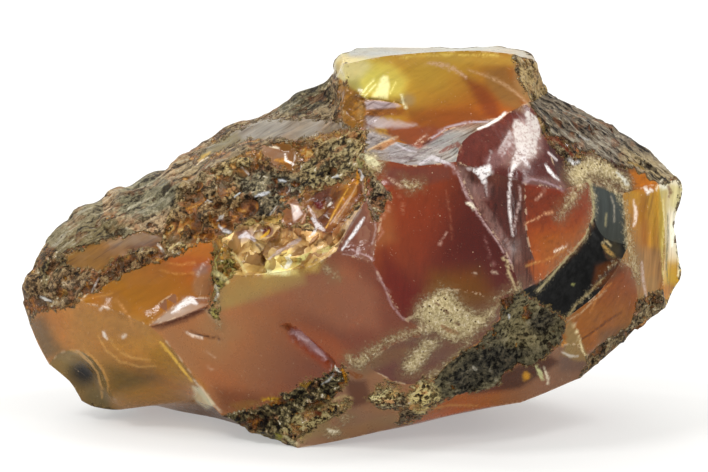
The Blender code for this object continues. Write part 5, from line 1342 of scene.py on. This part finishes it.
def measure_rind(surface, points, front):
    """Millimetres that each vertex lies inside the rind, negative on glass."""
    rough = surface.rough.copy()
    rough[NUMBERS["pale_patch"]] = False
    sides = surface.share(rough)
    gap = surface.rim_gap
    inside = np.where(sides > 0.5, gap, -gap)
    inside[(sides > 0) & (sides < 1)] = 0
    for outline in RIND_OUTLINES.values():
        inside = np.where(front, np.maximum(inside, inside_by(points, outline) / PIXELS_PER_MM), inside)
    for outline in GLASS_OUTLINES.values():
        inside = np.where(front, np.minimum(inside, -inside_by(points, outline) / PIXELS_PER_MM), inside)
    return np.clip(inside, -4, 4)


def measure_cover(surface, points, front):
    """How much of the rind's zone is covered, 0 to 1."""
    cover = surface.share(np.array([RIND_LOOKS.get(name, (0, RIND_COVER))[1] for name in NUMBERS]))
    for outline, soft, amount, _ in RIND_PAINT:
        share = ease(inside_by(points, outline), -soft / 2, soft / 2) * front
        cover += share * (amount - cover)
    for pixel, wide, high, _ in PITS:
        cover *= 1 - 0.8 * ease(inside_by(points, oval(pixel, wide, high)), -2.5, 2.5) * front
    return cover


def measure_froth(points, front):
    inside = np.full(len(points), -9.0)
    for outline in FROTH_OUTLINES.values():
        inside = np.maximum(inside, inside_by(points, outline) / PIXELS_PER_MM)
    for line in FROTH_VEINS:
        inside = np.maximum(inside, inside_line(points, line) / PIXELS_PER_MM)
    return np.where(front, np.clip(inside, -4, 4), -4)


# ---------------------------------------------------------------------------------------------
# Relief
# ---------------------------------------------------------------------------------------------
LUMP_HEIGHT, LUMP_WIDTH = 0.32, 2.4
GRAIN_HEIGHT, GRAIN_WIDTH = 0.30, 0.95
FURROW_HEIGHT, FURROW_WIDTH, FURROW_STRETCH = 0.60, 1.5, 5.0
CRUST_HEIGHT, CLUMP_WIDTH = 0.55, 2.6  # how far the crust's clumps stand above the resin between them
WAVE_HEIGHT, WAVE_WIDTH = 0.16, 9.0  # slow waves in a glassy face
CHIP_SIZE, CHIP_SLOPE = 3.0, 0.42
GRAIN_RUN = Vector((0.87, -0.15, -0.47)).normalized()  # the furrows' direction on the right
SLOPE_RUN = Vector((0.84, 0.05, 0.52)).normalized()  # and on the left


def stretched(place, run, times):
    along = place.dot(run) * run
    return place - along + along / times


def clumping(place):
    """Noise round 0.5 that says where the crust holds on."""
    place = place / CLUMP_WIDTH
    return 0.5 + 0.30 * (noise.noise(place) + 0.5 * noise.noise(place * 2.1) + 0.3 * noise.noise(place * 4.3))


def rind_relief(place, clump, cover):
    """Height of the crust's clumps, lumps, grains and furrows."""
    lump = noise.noise(place / LUMP_WIDTH) + 0.5 * noise.noise(place / LUMP_WIDTH * 1.9)
    grain = 0.25 - abs(noise.noise(place / GRAIN_WIDTH))
    run = GRAIN_RUN if place.x > 24 else SLOPE_RUN
    furrow = 0.25 - abs(noise.noise(stretched(place, run, FURROW_STRETCH) / FURROW_WIDTH))
    crust = ease(clump + (cover - 0.5) * 0.5, 0.44, 0.56)
    weathered = 0.45 if place.x < 0 and place.y > -2 else 1.0
    return weathered * (LUMP_HEIGHT * lump + GRAIN_HEIGHT * grain + FURROW_HEIGHT * furrow * furrow_share(place)
                        + CRUST_HEIGHT * (crust - 0.7))


def furrow_share(place):
    """The shoulder and the left slope are furrowed, and the front slope hardly."""
    if place.x > 24:
        return 1.0
    return 0.6 if place.x < -22 or place.y > 4 else 0.15


def chip_relief(place):
    """Small tilted facets, one to a cell."""
    _, cells = noise.voronoi(place / CHIP_SIZE)
    cell = cells[0]
    tilt = noise.cell_vector(cell * 7.3) * 2 - Vector((1, 1, 1))
    return CHIP_SLOPE * CHIP_SIZE * (place / CHIP_SIZE - cell).dot(tilt)


def give_relief(surface, points, front):
    """Moves every vertex along its normal: rind lumps, glass waves, chips, pits and the pale froth."""
    normals = surface.normals()
    rind = ease(surface.rind, -0.3, 0.7)
    froth = ease(surface.froth, -0.2, 0.4)
    sole = surface.share(np.array([face == "base" for face in SURFACES])) > 0
    shattered = np.zeros(len(SURFACES))
    for name, amount in SHATTERED.items():
        shattered[NUMBERS[name]] = amount
    shatter = surface.share(shattered) * ease(surface.ridge_gap, 0.2, 1.4)
    rise = np.zeros(len(surface.places))
    surface.clump = np.full(len(surface.places), 0.5)
    for index, row in enumerate(surface.places):
        place = Vector(row)
        wave = WAVE_HEIGHT * noise.noise(place / WAVE_WIDTH) * ease(surface.ridge_gap[index], 0, 2.5)
        rise[index] = wave * (1 - rind[index])
        if surface.rind[index] > -2.5:
            surface.clump[index] = clumping(place)
            rise[index] += rind[index] * rind_relief(place, surface.clump[index], surface.cover[index])
        if shatter[index] > 0:
            rise[index] += shatter[index] * chip_relief(place)
        if froth[index] > 0:
            rise[index] += froth[index] * 0.25 * noise.noise(place / 1.1)
    for pixel, wide, high, depth in PITS:
        hollow = ease(inside_by(points, oval(pixel, wide, high)) / PIXELS_PER_MM, -0.5, 0.9)
        rise -= np.where(front, hollow * depth * 0.6, 0)
    for pixel, wide, high, depth in DISHES:
        hollow = ease(inside_by(points, oval(pixel, wide, high)) / PIXELS_PER_MM, 0, min(wide, high) / 7)
        rise -= np.where(front, hollow * depth, 0)
    for line, depth in GROOVES:
        groove = ease(inside_line(points, line) / PIXELS_PER_MM, -0.35, 0.35)
        rise -= np.where(front, groove * depth, 0)
    rise[sole] = 0
    surface.places += normals * rise[:, None]


GROOVES = [  # ((pixel x, pixel y, half width) along a line, depth in millimetres)
    ([(284, 326, 2), (296, 336, 5), (312, 350, 5), (330, 364, 4)], 1.1),
    ([(187, 332, 1), (200, 336, 1.2), (218, 337, 1)], 0.3),
    ([(512, 168, 2), (511, 200, 1.5), (513, 236, 1)], -0.45),
    ([(356, 214, 2), (348, 232, 2), (340, 248, 1.5)], -0.3),
    ([(360, 99, 1.5), (380, 98, 1.5), (402, 102, 1.5)], 0.5),
]


# ---------------------------------------------------------------------------------------------
# Colours and other attributes
# ---------------------------------------------------------------------------------------------
GLOSS = 0.018  # the white that the gloss adds to every colour
LEVEL = 0.90  # and how much the light brightens it


def amber_colour(code):
    """The base colour that looks like a written one under the gloss and the studio's light."""
    return np.maximum(np.array(hex_colour(code)) - GLOSS, 0.003) * LEVEL


def paint_colours(surface, points, front):
    """Colour and clearness of the amber at each corner of each triangle, and the tint of its rind."""
    corners = surface.triangles
    at = points[corners]
    body = np.zeros((*corners.shape, 3))
    clear = np.zeros(corners.shape)
    tint = np.zeros((*corners.shape, 3))
    for name, number in NUMBERS.items():
        mine = surface.numbers == number
        if name in GLASS_LOOKS:
            first, start, second, end, clearness = GLASS_LOOKS[name]
            run = np.subtract(end, start).astype(float)
            share = ease((at[mine] - start) @ run / (run @ run), 0, 1)[..., None]
            body[mine] = (1 - share) * amber_colour(first) + share * amber_colour(second)
            clear[mine] = clearness
        else:
            body[mine] = hex_colour("8A5630")
            clear[mine] = 0.3
        tint[mine] = hex_colour(RIND_LOOKS.get(name, (RIND_TINT,))[0])
    for outline, colour, soft, strength, clearness in PAINT.values():
        cover = ease(inside_by(points, outline), -soft / 2, soft / 2) * strength * front
        cover = cover[corners]
        body += cover[..., None] * (amber_colour(colour) - body)
        if clearness is not None:
            clear += cover * (clearness - clear)
    for outline, soft, _, colour in RIND_PAINT:
        cover = (ease(inside_by(points, outline), -soft / 2, soft / 2) * front)[corners]
        tint += cover[..., None] * (np.array(hex_colour(colour)) - tint)
    return body, clear, tint


def measure_strokes(points, front):
    """How far the strokes cover each point, and their colour there, the later ones drawn over."""
    cover = np.zeros(len(points))
    nearest = np.full(len(points), -4.0)
    colours = np.zeros((len(points), 3)) + hex_colour("B8A088")
    for colour, strength, line in STROKES.values():
        near = near_line(points, line)
        inside = inside_line(points[near], line)
        colours[near[(inside > nearest[near]) | (inside > -0.2)]] = amber_colour(colour)
        nearest[near] = np.maximum(nearest[near], inside)
        cover[near] = np.maximum(cover[near], ease(inside, -0.8, 0.6) * strength * front[near])
    return cover, colours


def measure_rings(surface, points):
    """Distance from the fracture's centre and the height of its rings, for each corner."""
    ring = np.zeros(surface.triangles.shape)
    height = np.zeros(surface.triangles.shape)
    for name, (pixel, width, rise) in RINGS.items():
        mine = surface.numbers == NUMBERS[name]
        gaps = np.linalg.norm(points - pixel, axis=1) / PIXELS_PER_MM / width
        ring[mine] = gaps[surface.triangles[mine]]
        height[mine] = rise
    return ring, height


def set_attribute(mesh, name, kind, domain, values):
    field = "color" if kind == "FLOAT_COLOR" else "value"
    if kind == "FLOAT_COLOR":
        values = np.concatenate([values, np.ones((*values.shape[:-1], 1))], axis=-1)
    attribute = mesh.attributes.new(name, kind, domain)
    attribute.data.foreach_set(field, np.ascontiguousarray(values, np.float32).ravel())


# ---------------------------------------------------------------------------------------------
# Material
# ---------------------------------------------------------------------------------------------
class Graph:
    """Short ways to make and link shader nodes."""

    def __init__(self, tree):
        self.tree = tree
        self.metres = self.add("ShaderNodeTexCoord").outputs["Object"]
        self.place = self.add("ShaderNodeVectorMath", {0: self.metres, 3: 1 / MM}, operation="SCALE").outputs[0]

    def add(self, kind, inputs=None, **settings):
        node = self.tree.nodes.new(kind)
        for name, value in settings.items():
            setattr(node, name, value)
        for name, value in (inputs or {}).items():
            self.feed(node.inputs[name], value)
        return node

    def feed(self, socket, value):
        if isinstance(value, bpy.types.NodeSocket):
            self.tree.links.new(value, socket)
        elif isinstance(value, str):
            socket.default_value = (*hex_colour(value), 1)
        else:
            socket.default_value = value

    def read(self, name):
        node = self.add("ShaderNodeAttribute", attribute_name=name)
        return node.outputs["Fac"]

    def read_colour(self, name):
        return self.add("ShaderNodeAttribute", attribute_name=name).outputs["Color"]

    def noise(self, scale, detail, roughness, place=None):
        return self.add("ShaderNodeTexNoise", {
            "Vector": place or self.place, "Scale": scale, "Detail": detail - 1,
            "Roughness": roughness}).outputs["Fac"]

    def cells(self, scale, place=None, feature="F1"):
        return self.add("ShaderNodeTexVoronoi", {"Vector": place or self.place, "Scale": scale},
                        feature=feature)

    def stretch(self, run, times, place=None):
        """Coordinates squeezed along a direction, so that a texture draws out along it."""
        tilt = Vector((1, 0, 0)).rotation_difference(run).inverted().to_euler()
        turned = self.add("ShaderNodeVectorRotate", {"Vector": place or self.place, "Rotation": tilt},
                          rotation_type="EULER_XYZ").outputs[0]
        return self.add("ShaderNodeVectorMath", {0: turned, 1: (1 / times, 1, 1)},
                        operation="MULTIPLY").outputs[0]

    def math(self, operation, first, second=0.0, third=0.0, clamp=False):
        return self.add("ShaderNodeMath", {0: first, 1: second, 2: third}, operation=operation,
                        use_clamp=clamp).outputs[0]

    def ease(self, value, low, high, start=0.0, end=1.0):
        return self.add("ShaderNodeMapRange", {"Value": value, "From Min": low, "From Max": high,
                                               "To Min": start, "To Max": end},
                        interpolation_type="SMOOTHSTEP").outputs[0]

    def mix(self, share, first, second, blend="MIX"):
        node = self.add("ShaderNodeMix", data_type="RGBA", blend_type=blend)
        for socket, value in zip((node.inputs[0], node.inputs[6], node.inputs[7]), (share, first, second)):
            self.feed(socket, value)
        return node.outputs[2]

    def blend(self, share, first, second):
        node = self.add("ShaderNodeMix", data_type="FLOAT")
        for socket, value in zip((node.inputs[0], node.inputs[2], node.inputs[3]), (share, first, second)):
            self.feed(socket, value)
        return node.outputs[0]

    def ramp(self, value, stops, smooth=False):
        node = self.add("ShaderNodeValToRGB", {"Fac": value})
        ramp = node.color_ramp
        ramp.interpolation = "EASE" if smooth else "LINEAR"
        while len(ramp.elements) < len(stops):
            ramp.elements.new(0.5)
        for element, (position, colour) in zip(ramp.elements, stops):
            element.position = position
            element.color = (*hex_colour(colour), 1)
        return node.outputs["Color"]

    def facets(self, scale, slope, place=None):
        """Height of small tilted facets, one to a cell, with this slope at most."""
        cells = self.cells(scale, place)
        offset = self.add("ShaderNodeVectorMath", {0: place or self.place, 1: cells.outputs["Position"]},
                          operation="SUBTRACT").outputs[0]
        tilt = self.add("ShaderNodeVectorMath", {0: cells.outputs["Color"], 1: (0.5, 0.5, 0.5)},
                        operation="SUBTRACT").outputs[0]
        rise = self.add("ShaderNodeVectorMath", {0: offset, 1: tilt}, operation="DOT_PRODUCT").outputs["Value"]
        return self.math("MULTIPLY", rise, 2 * slope)

    def centred(self, value, amount):
        """A noise value made to swing by the amount either side of zero."""
        return self.math("MULTIPLY", self.math("SUBTRACT", value, 0.5), amount)


def amber_material():
    material = bpy.data.materials.new("amber")
    material.use_nodes = True
    tree = material.node_tree
    tree.nodes.clear()
    g = Graph(tree)
    rind_inside, froth_inside, cover = g.read("rind"), g.read("froth"), g.read("cover")
    ridge_gap, body, tint = g.read("ridge_gap"), g.read_colour("body"), g.read_colour("tint")
    slow, crumble, fine = g.noise(0.22, 2, 0.5), g.noise(0.85, 4, 0.66), g.noise(2.3, 3, 0.7)
    cells = g.cells(1.5)
    bits = g.add("ShaderNodeSeparateColor", {0: cells.outputs["Color"]}).outputs[0]

    # the rind's zone, and the crust that covers part of it
    zone_inside = g.math("ADD", rind_inside, g.centred(crumble, 3.2))
    zone = g.ease(zone_inside, -0.25, 0.25)
    clumps = g.math("ADD", g.read("clump"), g.centred(g.noise(1.7, 4, 0.7), 0.45))
    cover = g.math("MULTIPLY", cover, g.ease(zone_inside, -0.6, 1.8, 0.78, 1.0))
    crust = g.ease(g.math("ADD", clumps, g.centred(cover, 0.5)), 0.475, 0.525)
    crust = g.math("MULTIPLY", crust, zone)

    # crust: clumps of charcoal, wood and ochre, drawn out in furrows where the bark shows
    patch = g.centred(g.noise(0.42, 2, 0.5), 0.26)
    grain = g.math("ADD", g.noise(1.5, 5, 0.72), patch)
    grain = g.math("ADD", grain, g.centred(bits, 0.14))
    crust_colour = g.mix(g.ease(grain, 0.37, 0.46), "100B07", g.mix(1.0, tint, "8A7A62", "MULTIPLY"))
    crust_colour = g.mix(g.ease(grain, 0.46, 0.53), crust_colour, tint)
    crust_colour = g.mix(g.ease(grain, 0.55, 0.62), crust_colour, g.mix(0.4, tint, "D8C088"))
    # the palest grains, near white, are partly pale flecks of the crust and partly painted glints
    crust_colour = g.mix(g.ease(grain, 0.64, 0.70, 0, 0.85), crust_colour, "F6EEDA")
    rust = g.ease(g.noise(0.36, 3, 0.65), 0.53, 0.64, 0, 0.6)
    crust_colour = g.mix(rust, crust_colour, g.mix(1.0, crust_colour, "D87A3C", "MULTIPLY"))
    crust_colour = g.mix(g.ease(slow, 0.52, 0.64, 0, 0.25), crust_colour,
                         g.mix(1.0, crust_colour, "C08A58", "MULTIPLY"))
    calm_colour = g.mix(g.ease(grain, 0.36, 0.62), g.mix(1.0, tint, "5E564A", "MULTIPLY"),
                        g.mix(0.12, tint, "E0D4B4"))
    crust_colour = g.mix(g.read("calm"), crust_colour, calm_colour)
    furrow = g.noise(0.75, 3, 0.65, g.stretch(SLOPE_RUN, 6))
    bark = g.noise(0.9, 3, 0.7, g.stretch(GRAIN_RUN, 8))
    right = g.ease(g.add("ShaderNodeSeparateXYZ", {0: g.place}).outputs[0], 16, 22)
    furrow = g.blend(right, furrow, bark)
    furrowed = g.read("furrowed")
    bark_tone = g.math("ADD", furrow, g.centred(grain, 0.35))
    bark_shade = g.mix(1.0, tint, g.mix(right, "6E645A", "342C26"), "MULTIPLY")
    bark_colour = g.mix(g.ease(bark_tone, 0.40, 0.50), bark_shade, tint)
    bark_colour = g.mix(g.ease(bark_tone, 0.55, 0.66), bark_colour, g.mix(0.35, tint, "D4CEBC"))
    bark_colour = g.mix(rust, bark_colour, g.mix(0.5, bark_colour, "8A5024"))
    crust_colour = g.mix(g.math("MULTIPLY", furrowed, 0.8), crust_colour, bark_colour)

    # resin that shows through the crust: lumpy, glossy, from nearly black to bright orange
    resin_tone = g.math("ADD", g.noise(0.55, 3, 0.6), g.centred(slow, 0.3))
    resin_colour = g.ramp(resin_tone, [(0.36, "2A0E05"), (0.46, "5E280B"), (0.55, "965012"), (0.63, "CC8826"),
                                       (0.72, "F0C878")])
    resin_colour = g.mix(0.35, resin_colour, tint)

    # amber: streaks, wisps and clouds in the body colour
    satin = g.read("satin")
    amber = g.ease(satin, 0.50, 0.42)  # nothing where the coal is
    flow = g.noise(0.12, 3, 0.5, g.stretch(Vector((0.8, 0, -0.6)), 3))
    body = g.mix(g.math("MULTIPLY", amber, g.ease(flow, 0.35, 0.7, 0.0, 0.35)), body,
                 g.mix(1.0, body, "FFC27A", "MULTIPLY"))
    cloud = g.noise(0.3, 4, 0.6)
    body = g.mix(g.math("MULTIPLY", amber, g.ease(cloud, 0.45, 0.75, 0.0, 0.25)), body,
                 g.mix(1.0, g.mix(0.45, body, body, "ADD"), "FFE6B8", "MULTIPLY"))
    streak = g.read("streak")
    upright = g.noise(1.5, 3, 0.65, g.stretch(Vector((0.05, 0.2, 0.98)).normalized(), 14))
    aslant = g.noise(1.5, 3, 0.65, g.stretch(Vector((0.86, 0.05, 0.50)).normalized(), 10))
    streak_tone = g.blend(g.ease(streak, 0.05, -0.05), upright, aslant)
    streaked = g.math("ABSOLUTE", streak)
    body = g.mix(g.math("MULTIPLY", streaked, g.ease(streak_tone, 0.52, 0.70, 0, 0.7)), body,
                 g.mix(0.8, body, body, "ADD"))
    body = g.mix(g.math("MULTIPLY", streaked, g.ease(streak_tone, 0.48, 0.32, 0, 0.8)), body,
                 g.mix(1.0, body, "84685C", "MULTIPLY"))

    # splinters in the chipped amber, with painted light and shade: each splinter lighter where it stands higher,
    # darker where lower
    warp = g.add("ShaderNodeVectorMath", {0: g.place, 1: g.add(
        "ShaderNodeTexNoise", {"Vector": g.place, "Scale": 0.8, "Detail": 1}).outputs["Color"]},
        operation="ADD").outputs[0]
    shatter = g.read("shatter")
    drawn = g.stretch(Vector((0.55, 0, 0.83)).normalized(), 2.0, warp)
    shards = g.math("ADD", g.facets(0.45, 0.40, drawn), g.facets(1.1, 0.26, drawn))
    body = g.mix(g.math("MULTIPLY", shatter, g.ease(shards, 0.06, -0.28, 0, 0.65)), body,
                 g.mix(1.0, body, "8A5E30", "MULTIPLY"))
    body = g.mix(g.math("MULTIPLY", shatter, g.ease(shards, 0.04, 0.36, 0, 0.5)), body,
                 g.mix(0.4, g.mix(0.9, body, body, "ADD"), "F2E4B0"))
    ring = g.math("ADD", g.read("ring"), g.math("MULTIPLY", slow, 3.4))
    ring_line = g.math("SINE", g.math("MULTIPLY", ring, math.tau))
    ring_patch = g.ease(crumble, 0.40, 0.6)
    ring_height = g.read("ring_height")
    ring_show = g.math("MULTIPLY", g.ease(ring_height, 0.010, 0.035, 0, 0.32), ring_patch)
    body = g.mix(g.math("MULTIPLY", ring_show, g.ease(ring_line, 0.6, 0.95)), body,
                 g.mix(0.6, body, body, "ADD"))
    body = g.mix(g.math("MULTIPLY", ring_show, g.ease(ring_line, -0.6, -0.95)), body,
                 g.mix(1.0, body, "A08468", "MULTIPLY"))

    # froth: pale and gritty, thinning out into the amber, with brown pores in its thick parts
    froth_edge = g.math("ADD", froth_inside, g.math("ADD", g.centred(crumble, 1.8), g.centred(fine, 2.0)))
    froth = g.ease(froth_edge, -0.5, 0.7)
    stain = g.math("MULTIPLY", amber, g.ease(froth_edge, -1.6, 0.2, 0, 0.4))
    froth_colour = g.ramp(fine, [(0.30, "8E7E58"), (0.46, "AE9E74"), (0.58, "C8B890"), (0.70, "E8DCC0")])
    pore = g.ease(cells.outputs["Distance"], 0.12, 0.26)
    pore = g.math("MAXIMUM", pore, g.ease(crumble, 0.54, 0.47))
    pore = g.math("MAXIMUM", pore, g.ease(froth_inside, 1.2, 0.5))
    froth_colour = g.mix(pore, "4A2C1A", froth_colour)
    froth_look = g.math("MULTIPLY", froth, g.ease(froth_inside, -0.4, 1.8, 0.45, 0.95))
    froth_look = g.math("MULTIPLY", froth_look, g.ease(crumble, 0.34, 0.5, 0.7, 1.0))

    # nicks along the ridges, dust and scratches
    nick = g.math("MULTIPLY", g.ease(ridge_gap, 0.32, 0.05), g.ease(crumble, 0.52, 0.60))
    dust = g.math("MULTIPLY", g.ease(g.cells(0.7).outputs["Distance"], 0.075, 0.04), g.ease(slow, 0.42, 0.6))
    run_a = g.noise(6.0, 1, 0.5, g.stretch(Vector((0.25, 0, 1)).normalized(), 40))
    run_b = g.noise(5.0, 1, 0.5, g.stretch(Vector((0.8, 0, -0.6)), 40))
    scratch = g.math("MULTIPLY", g.ease(g.math("MAXIMUM", run_a, run_b), 0.79, 0.86), g.ease(slow, 0.42, 0.6))
    pale = g.math("MAXIMUM", g.math("MULTIPLY", nick, 0.55),
                  g.math("MAXIMUM", g.math("MULTIPLY", dust, 0.7), g.math("MULTIPLY", scratch, 0.30)))

    pale = g.math("MULTIPLY", pale, amber)
    colour = g.mix(pale, body, "C8AE90")
    colour = g.mix(stain, colour, "7C6440")
    colour = g.mix(froth_look, colour, froth_colour)
    rim = g.ease(g.math("ABSOLUTE", zone_inside), 0.5, 0.1)
    rim = g.math("MULTIPLY", rim, g.ease(fine, 0.42, 0.60, 0, 0.65))
    colour = g.mix(zone, colour, resin_colour)
    colour = g.mix(rim, colour, "A88E52")
    colour = g.mix(crust, colour, crust_colour)
    # strokes laid over everything: cracks and scuffs, and painted highlights, sheen and glow
    stroke = g.math("MULTIPLY", g.read("stroke"), g.ease(fine, 0.34, 0.52, 0.4, 1.0))
    colour = g.mix(stroke, colour, g.read_colour("stroke_colour"))

    glass_rough = g.math("MULTIPLY", satin, g.ease(crumble, 0.3, 0.7, 0.75, 1.25))
    rough = g.blend(froth_look, g.blend(pale, glass_rough, 0.5), 0.6)
    rough = g.blend(zone, rough, 0.12)
    rough = g.blend(crust, rough, g.ease(grain, 0.42, 0.52, 0.24, 0.64))
    rough = g.blend(stroke, rough, 0.35)

    clear = g.math("MULTIPLY", g.blend(zone, g.read("clear"), 0.25), g.math("SUBTRACT", 1.0, crust))
    clear = g.math("MULTIPLY", clear, g.math("SUBTRACT", 1.0, g.math("MAXIMUM", froth_look, pale)), clamp=True)
    clear = g.math("MULTIPLY", clear, g.math("SUBTRACT", 1.0, stroke), clamp=True)

    # height in millimetres
    rings = g.math("MULTIPLY", ring_line, g.math("MULTIPLY", ring_height, ring_patch))
    glass_height = g.math("MULTIPLY_ADD", crumble, 0.03, rings)
    glass_height = g.math("MULTIPLY_ADD", shards, shatter, glass_height)
    resin_height = g.math("ADD", g.facets(0.8, 0.7, warp), g.math("MULTIPLY", crumble, 0.9))
    crust_height = g.math("MULTIPLY_ADD", grain, g.blend(furrowed, 1.3, 0.5), 0.12)
    crust_height = g.math("MULTIPLY_ADD", g.math("MULTIPLY", furrow, furrowed), 1.8, crust_height)
    froth_height = g.math("MULTIPLY_ADD", pore, 0.2, g.math("MULTIPLY", fine, 0.4))
    height = g.blend(froth_look, glass_height, froth_height)
    height = g.blend(crust, g.blend(zone, height, resin_height), crust_height)
    bump = g.add("ShaderNodeBump", {"Strength": 1.0, "Distance": MM, "Height": height})

    shader = g.add("ShaderNodeBsdfPrincipled", {
        "Base Color": colour, "Roughness": rough, "Transmission Weight": clear,
        "Normal": bump.outputs["Normal"], "IOR": 1.54, "Specular IOR Level": 0.12, "Metallic": 0.0})
    output = g.add("ShaderNodeOutputMaterial", {"Surface": shader.outputs[0]})
    absorb = g.add("ShaderNodeVolumeAbsorption", {"Color": (*ABSORB_COLOUR, 1), "Density": ABSORB_DENSITY})
    g.feed(output.inputs["Volume"], absorb.outputs[0])
    return material


ABSORB_COLOUR = (0.95, 0.70, 0.05)
ABSORB_DENSITY = 140.0


# ---------------------------------------------------------------------------------------------
# The lump
# ---------------------------------------------------------------------------------------------
def add_lump():
    bm = solid_copy()
    split(bm, list(bm.edges))
    split(bm, edges_of(bm, NUMBERS.keys() - HIDDEN))
    split(bm, edges_of(bm, FINEST))
    split(bm, edges_by_strokes(bm))
    surface = Surface(bm)
    bm.free()
    surface.smooth()
    points = to_picture(surface.places)
    front = (surface.normals() @ np.array(SIGHT)) < 0.05
    rough = surface.rough.copy()
    rough[NUMBERS["pale_patch"]] = False
    surface.rim_gap = surface.distance_to(surface.rim_edges(rough), RIM_ROUNDS)
    surface.ridge_gap = surface.distance_to(surface.ridge, RIM_ROUNDS)
    surface.rind = measure_rind(surface, points, front)
    surface.froth = measure_froth(points, front)
    surface.cover = measure_cover(surface, points, front)
    satin = surface.share(np.array([SATIN.get(name, PLAIN_SATIN) for name in NUMBERS]))
    shatter = surface.share(np.array([SHATTERED.get(name, 0.0) for name in NUMBERS]))
    for outline, amount in SHATTER_OUTLINES:
        shatter = np.maximum(shatter, amount * ease(inside_by(points, outline), 0, 4) * front)
    furrowed = surface.share(np.array([FURROWED.get(name, 0.0) for name in NUMBERS]))
    calm = surface.share(np.array([CALM.get(name, 0.0) for name in NUMBERS]))
    streak = surface.share(np.array([STREAKS.get(name, 0.0) for name in NUMBERS]))
    strip = ease(inside_by(points, GLASS_OUTLINES["grey_strip"]), 0, 3) * front
    streak -= strip * (streak + 0.8)
    stroke, stroke_colour = measure_strokes(points, front)
    body, clear, tint = paint_colours(surface, points, front)
    ring, ring_height = measure_rings(surface, points)
    give_relief(surface, points, front)
    low, high = (np.array(corner) / MM for corner in cad_box)
    surface.places = np.clip(surface.places, low, high)

    mesh = bpy.data.meshes.new("amber_lump")
    mesh.from_pydata((surface.places * MM).tolist(), [], surface.triangles.tolist())
    set_attribute(mesh, "rind", "FLOAT", "POINT", surface.rind)
    set_attribute(mesh, "froth", "FLOAT", "POINT", surface.froth)
    set_attribute(mesh, "ridge_gap", "FLOAT", "POINT", surface.ridge_gap)
    set_attribute(mesh, "cover", "FLOAT", "POINT", surface.cover)
    set_attribute(mesh, "clump", "FLOAT", "POINT", surface.clump)
    set_attribute(mesh, "satin", "FLOAT", "POINT", satin)
    set_attribute(mesh, "furrowed", "FLOAT", "POINT", furrowed)
    set_attribute(mesh, "calm", "FLOAT", "POINT", calm)
    set_attribute(mesh, "shatter", "FLOAT", "POINT", shatter)
    set_attribute(mesh, "streak", "FLOAT", "POINT", streak)
    set_attribute(mesh, "stroke", "FLOAT", "POINT", stroke)
    set_attribute(mesh, "stroke_colour", "FLOAT_COLOR", "POINT", stroke_colour)
    set_attribute(mesh, "body", "FLOAT_COLOR", "CORNER", body)
    set_attribute(mesh, "tint", "FLOAT_COLOR", "CORNER", tint)
    set_attribute(mesh, "clear", "FLOAT", "CORNER", clear)
    set_attribute(mesh, "ring", "FLOAT", "CORNER", ring)
    set_attribute(mesh, "ring_height", "FLOAT", "CORNER", ring_height)
    mesh.shade_smooth()
    mesh.set_sharp_from_angle(angle=math.radians(38))
    mesh.materials.append(amber_material())
    lump = link(bpy.data.objects.new("amber_lump", mesh))
    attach(lump, "root")
    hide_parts("raw_amber")


bpy.context.scene.view_settings.view_transform = "Standard"
add_camera()
add_world()
add_floor()
for lamp in LIGHTS:
    add_light(*lamp)
add_lump()
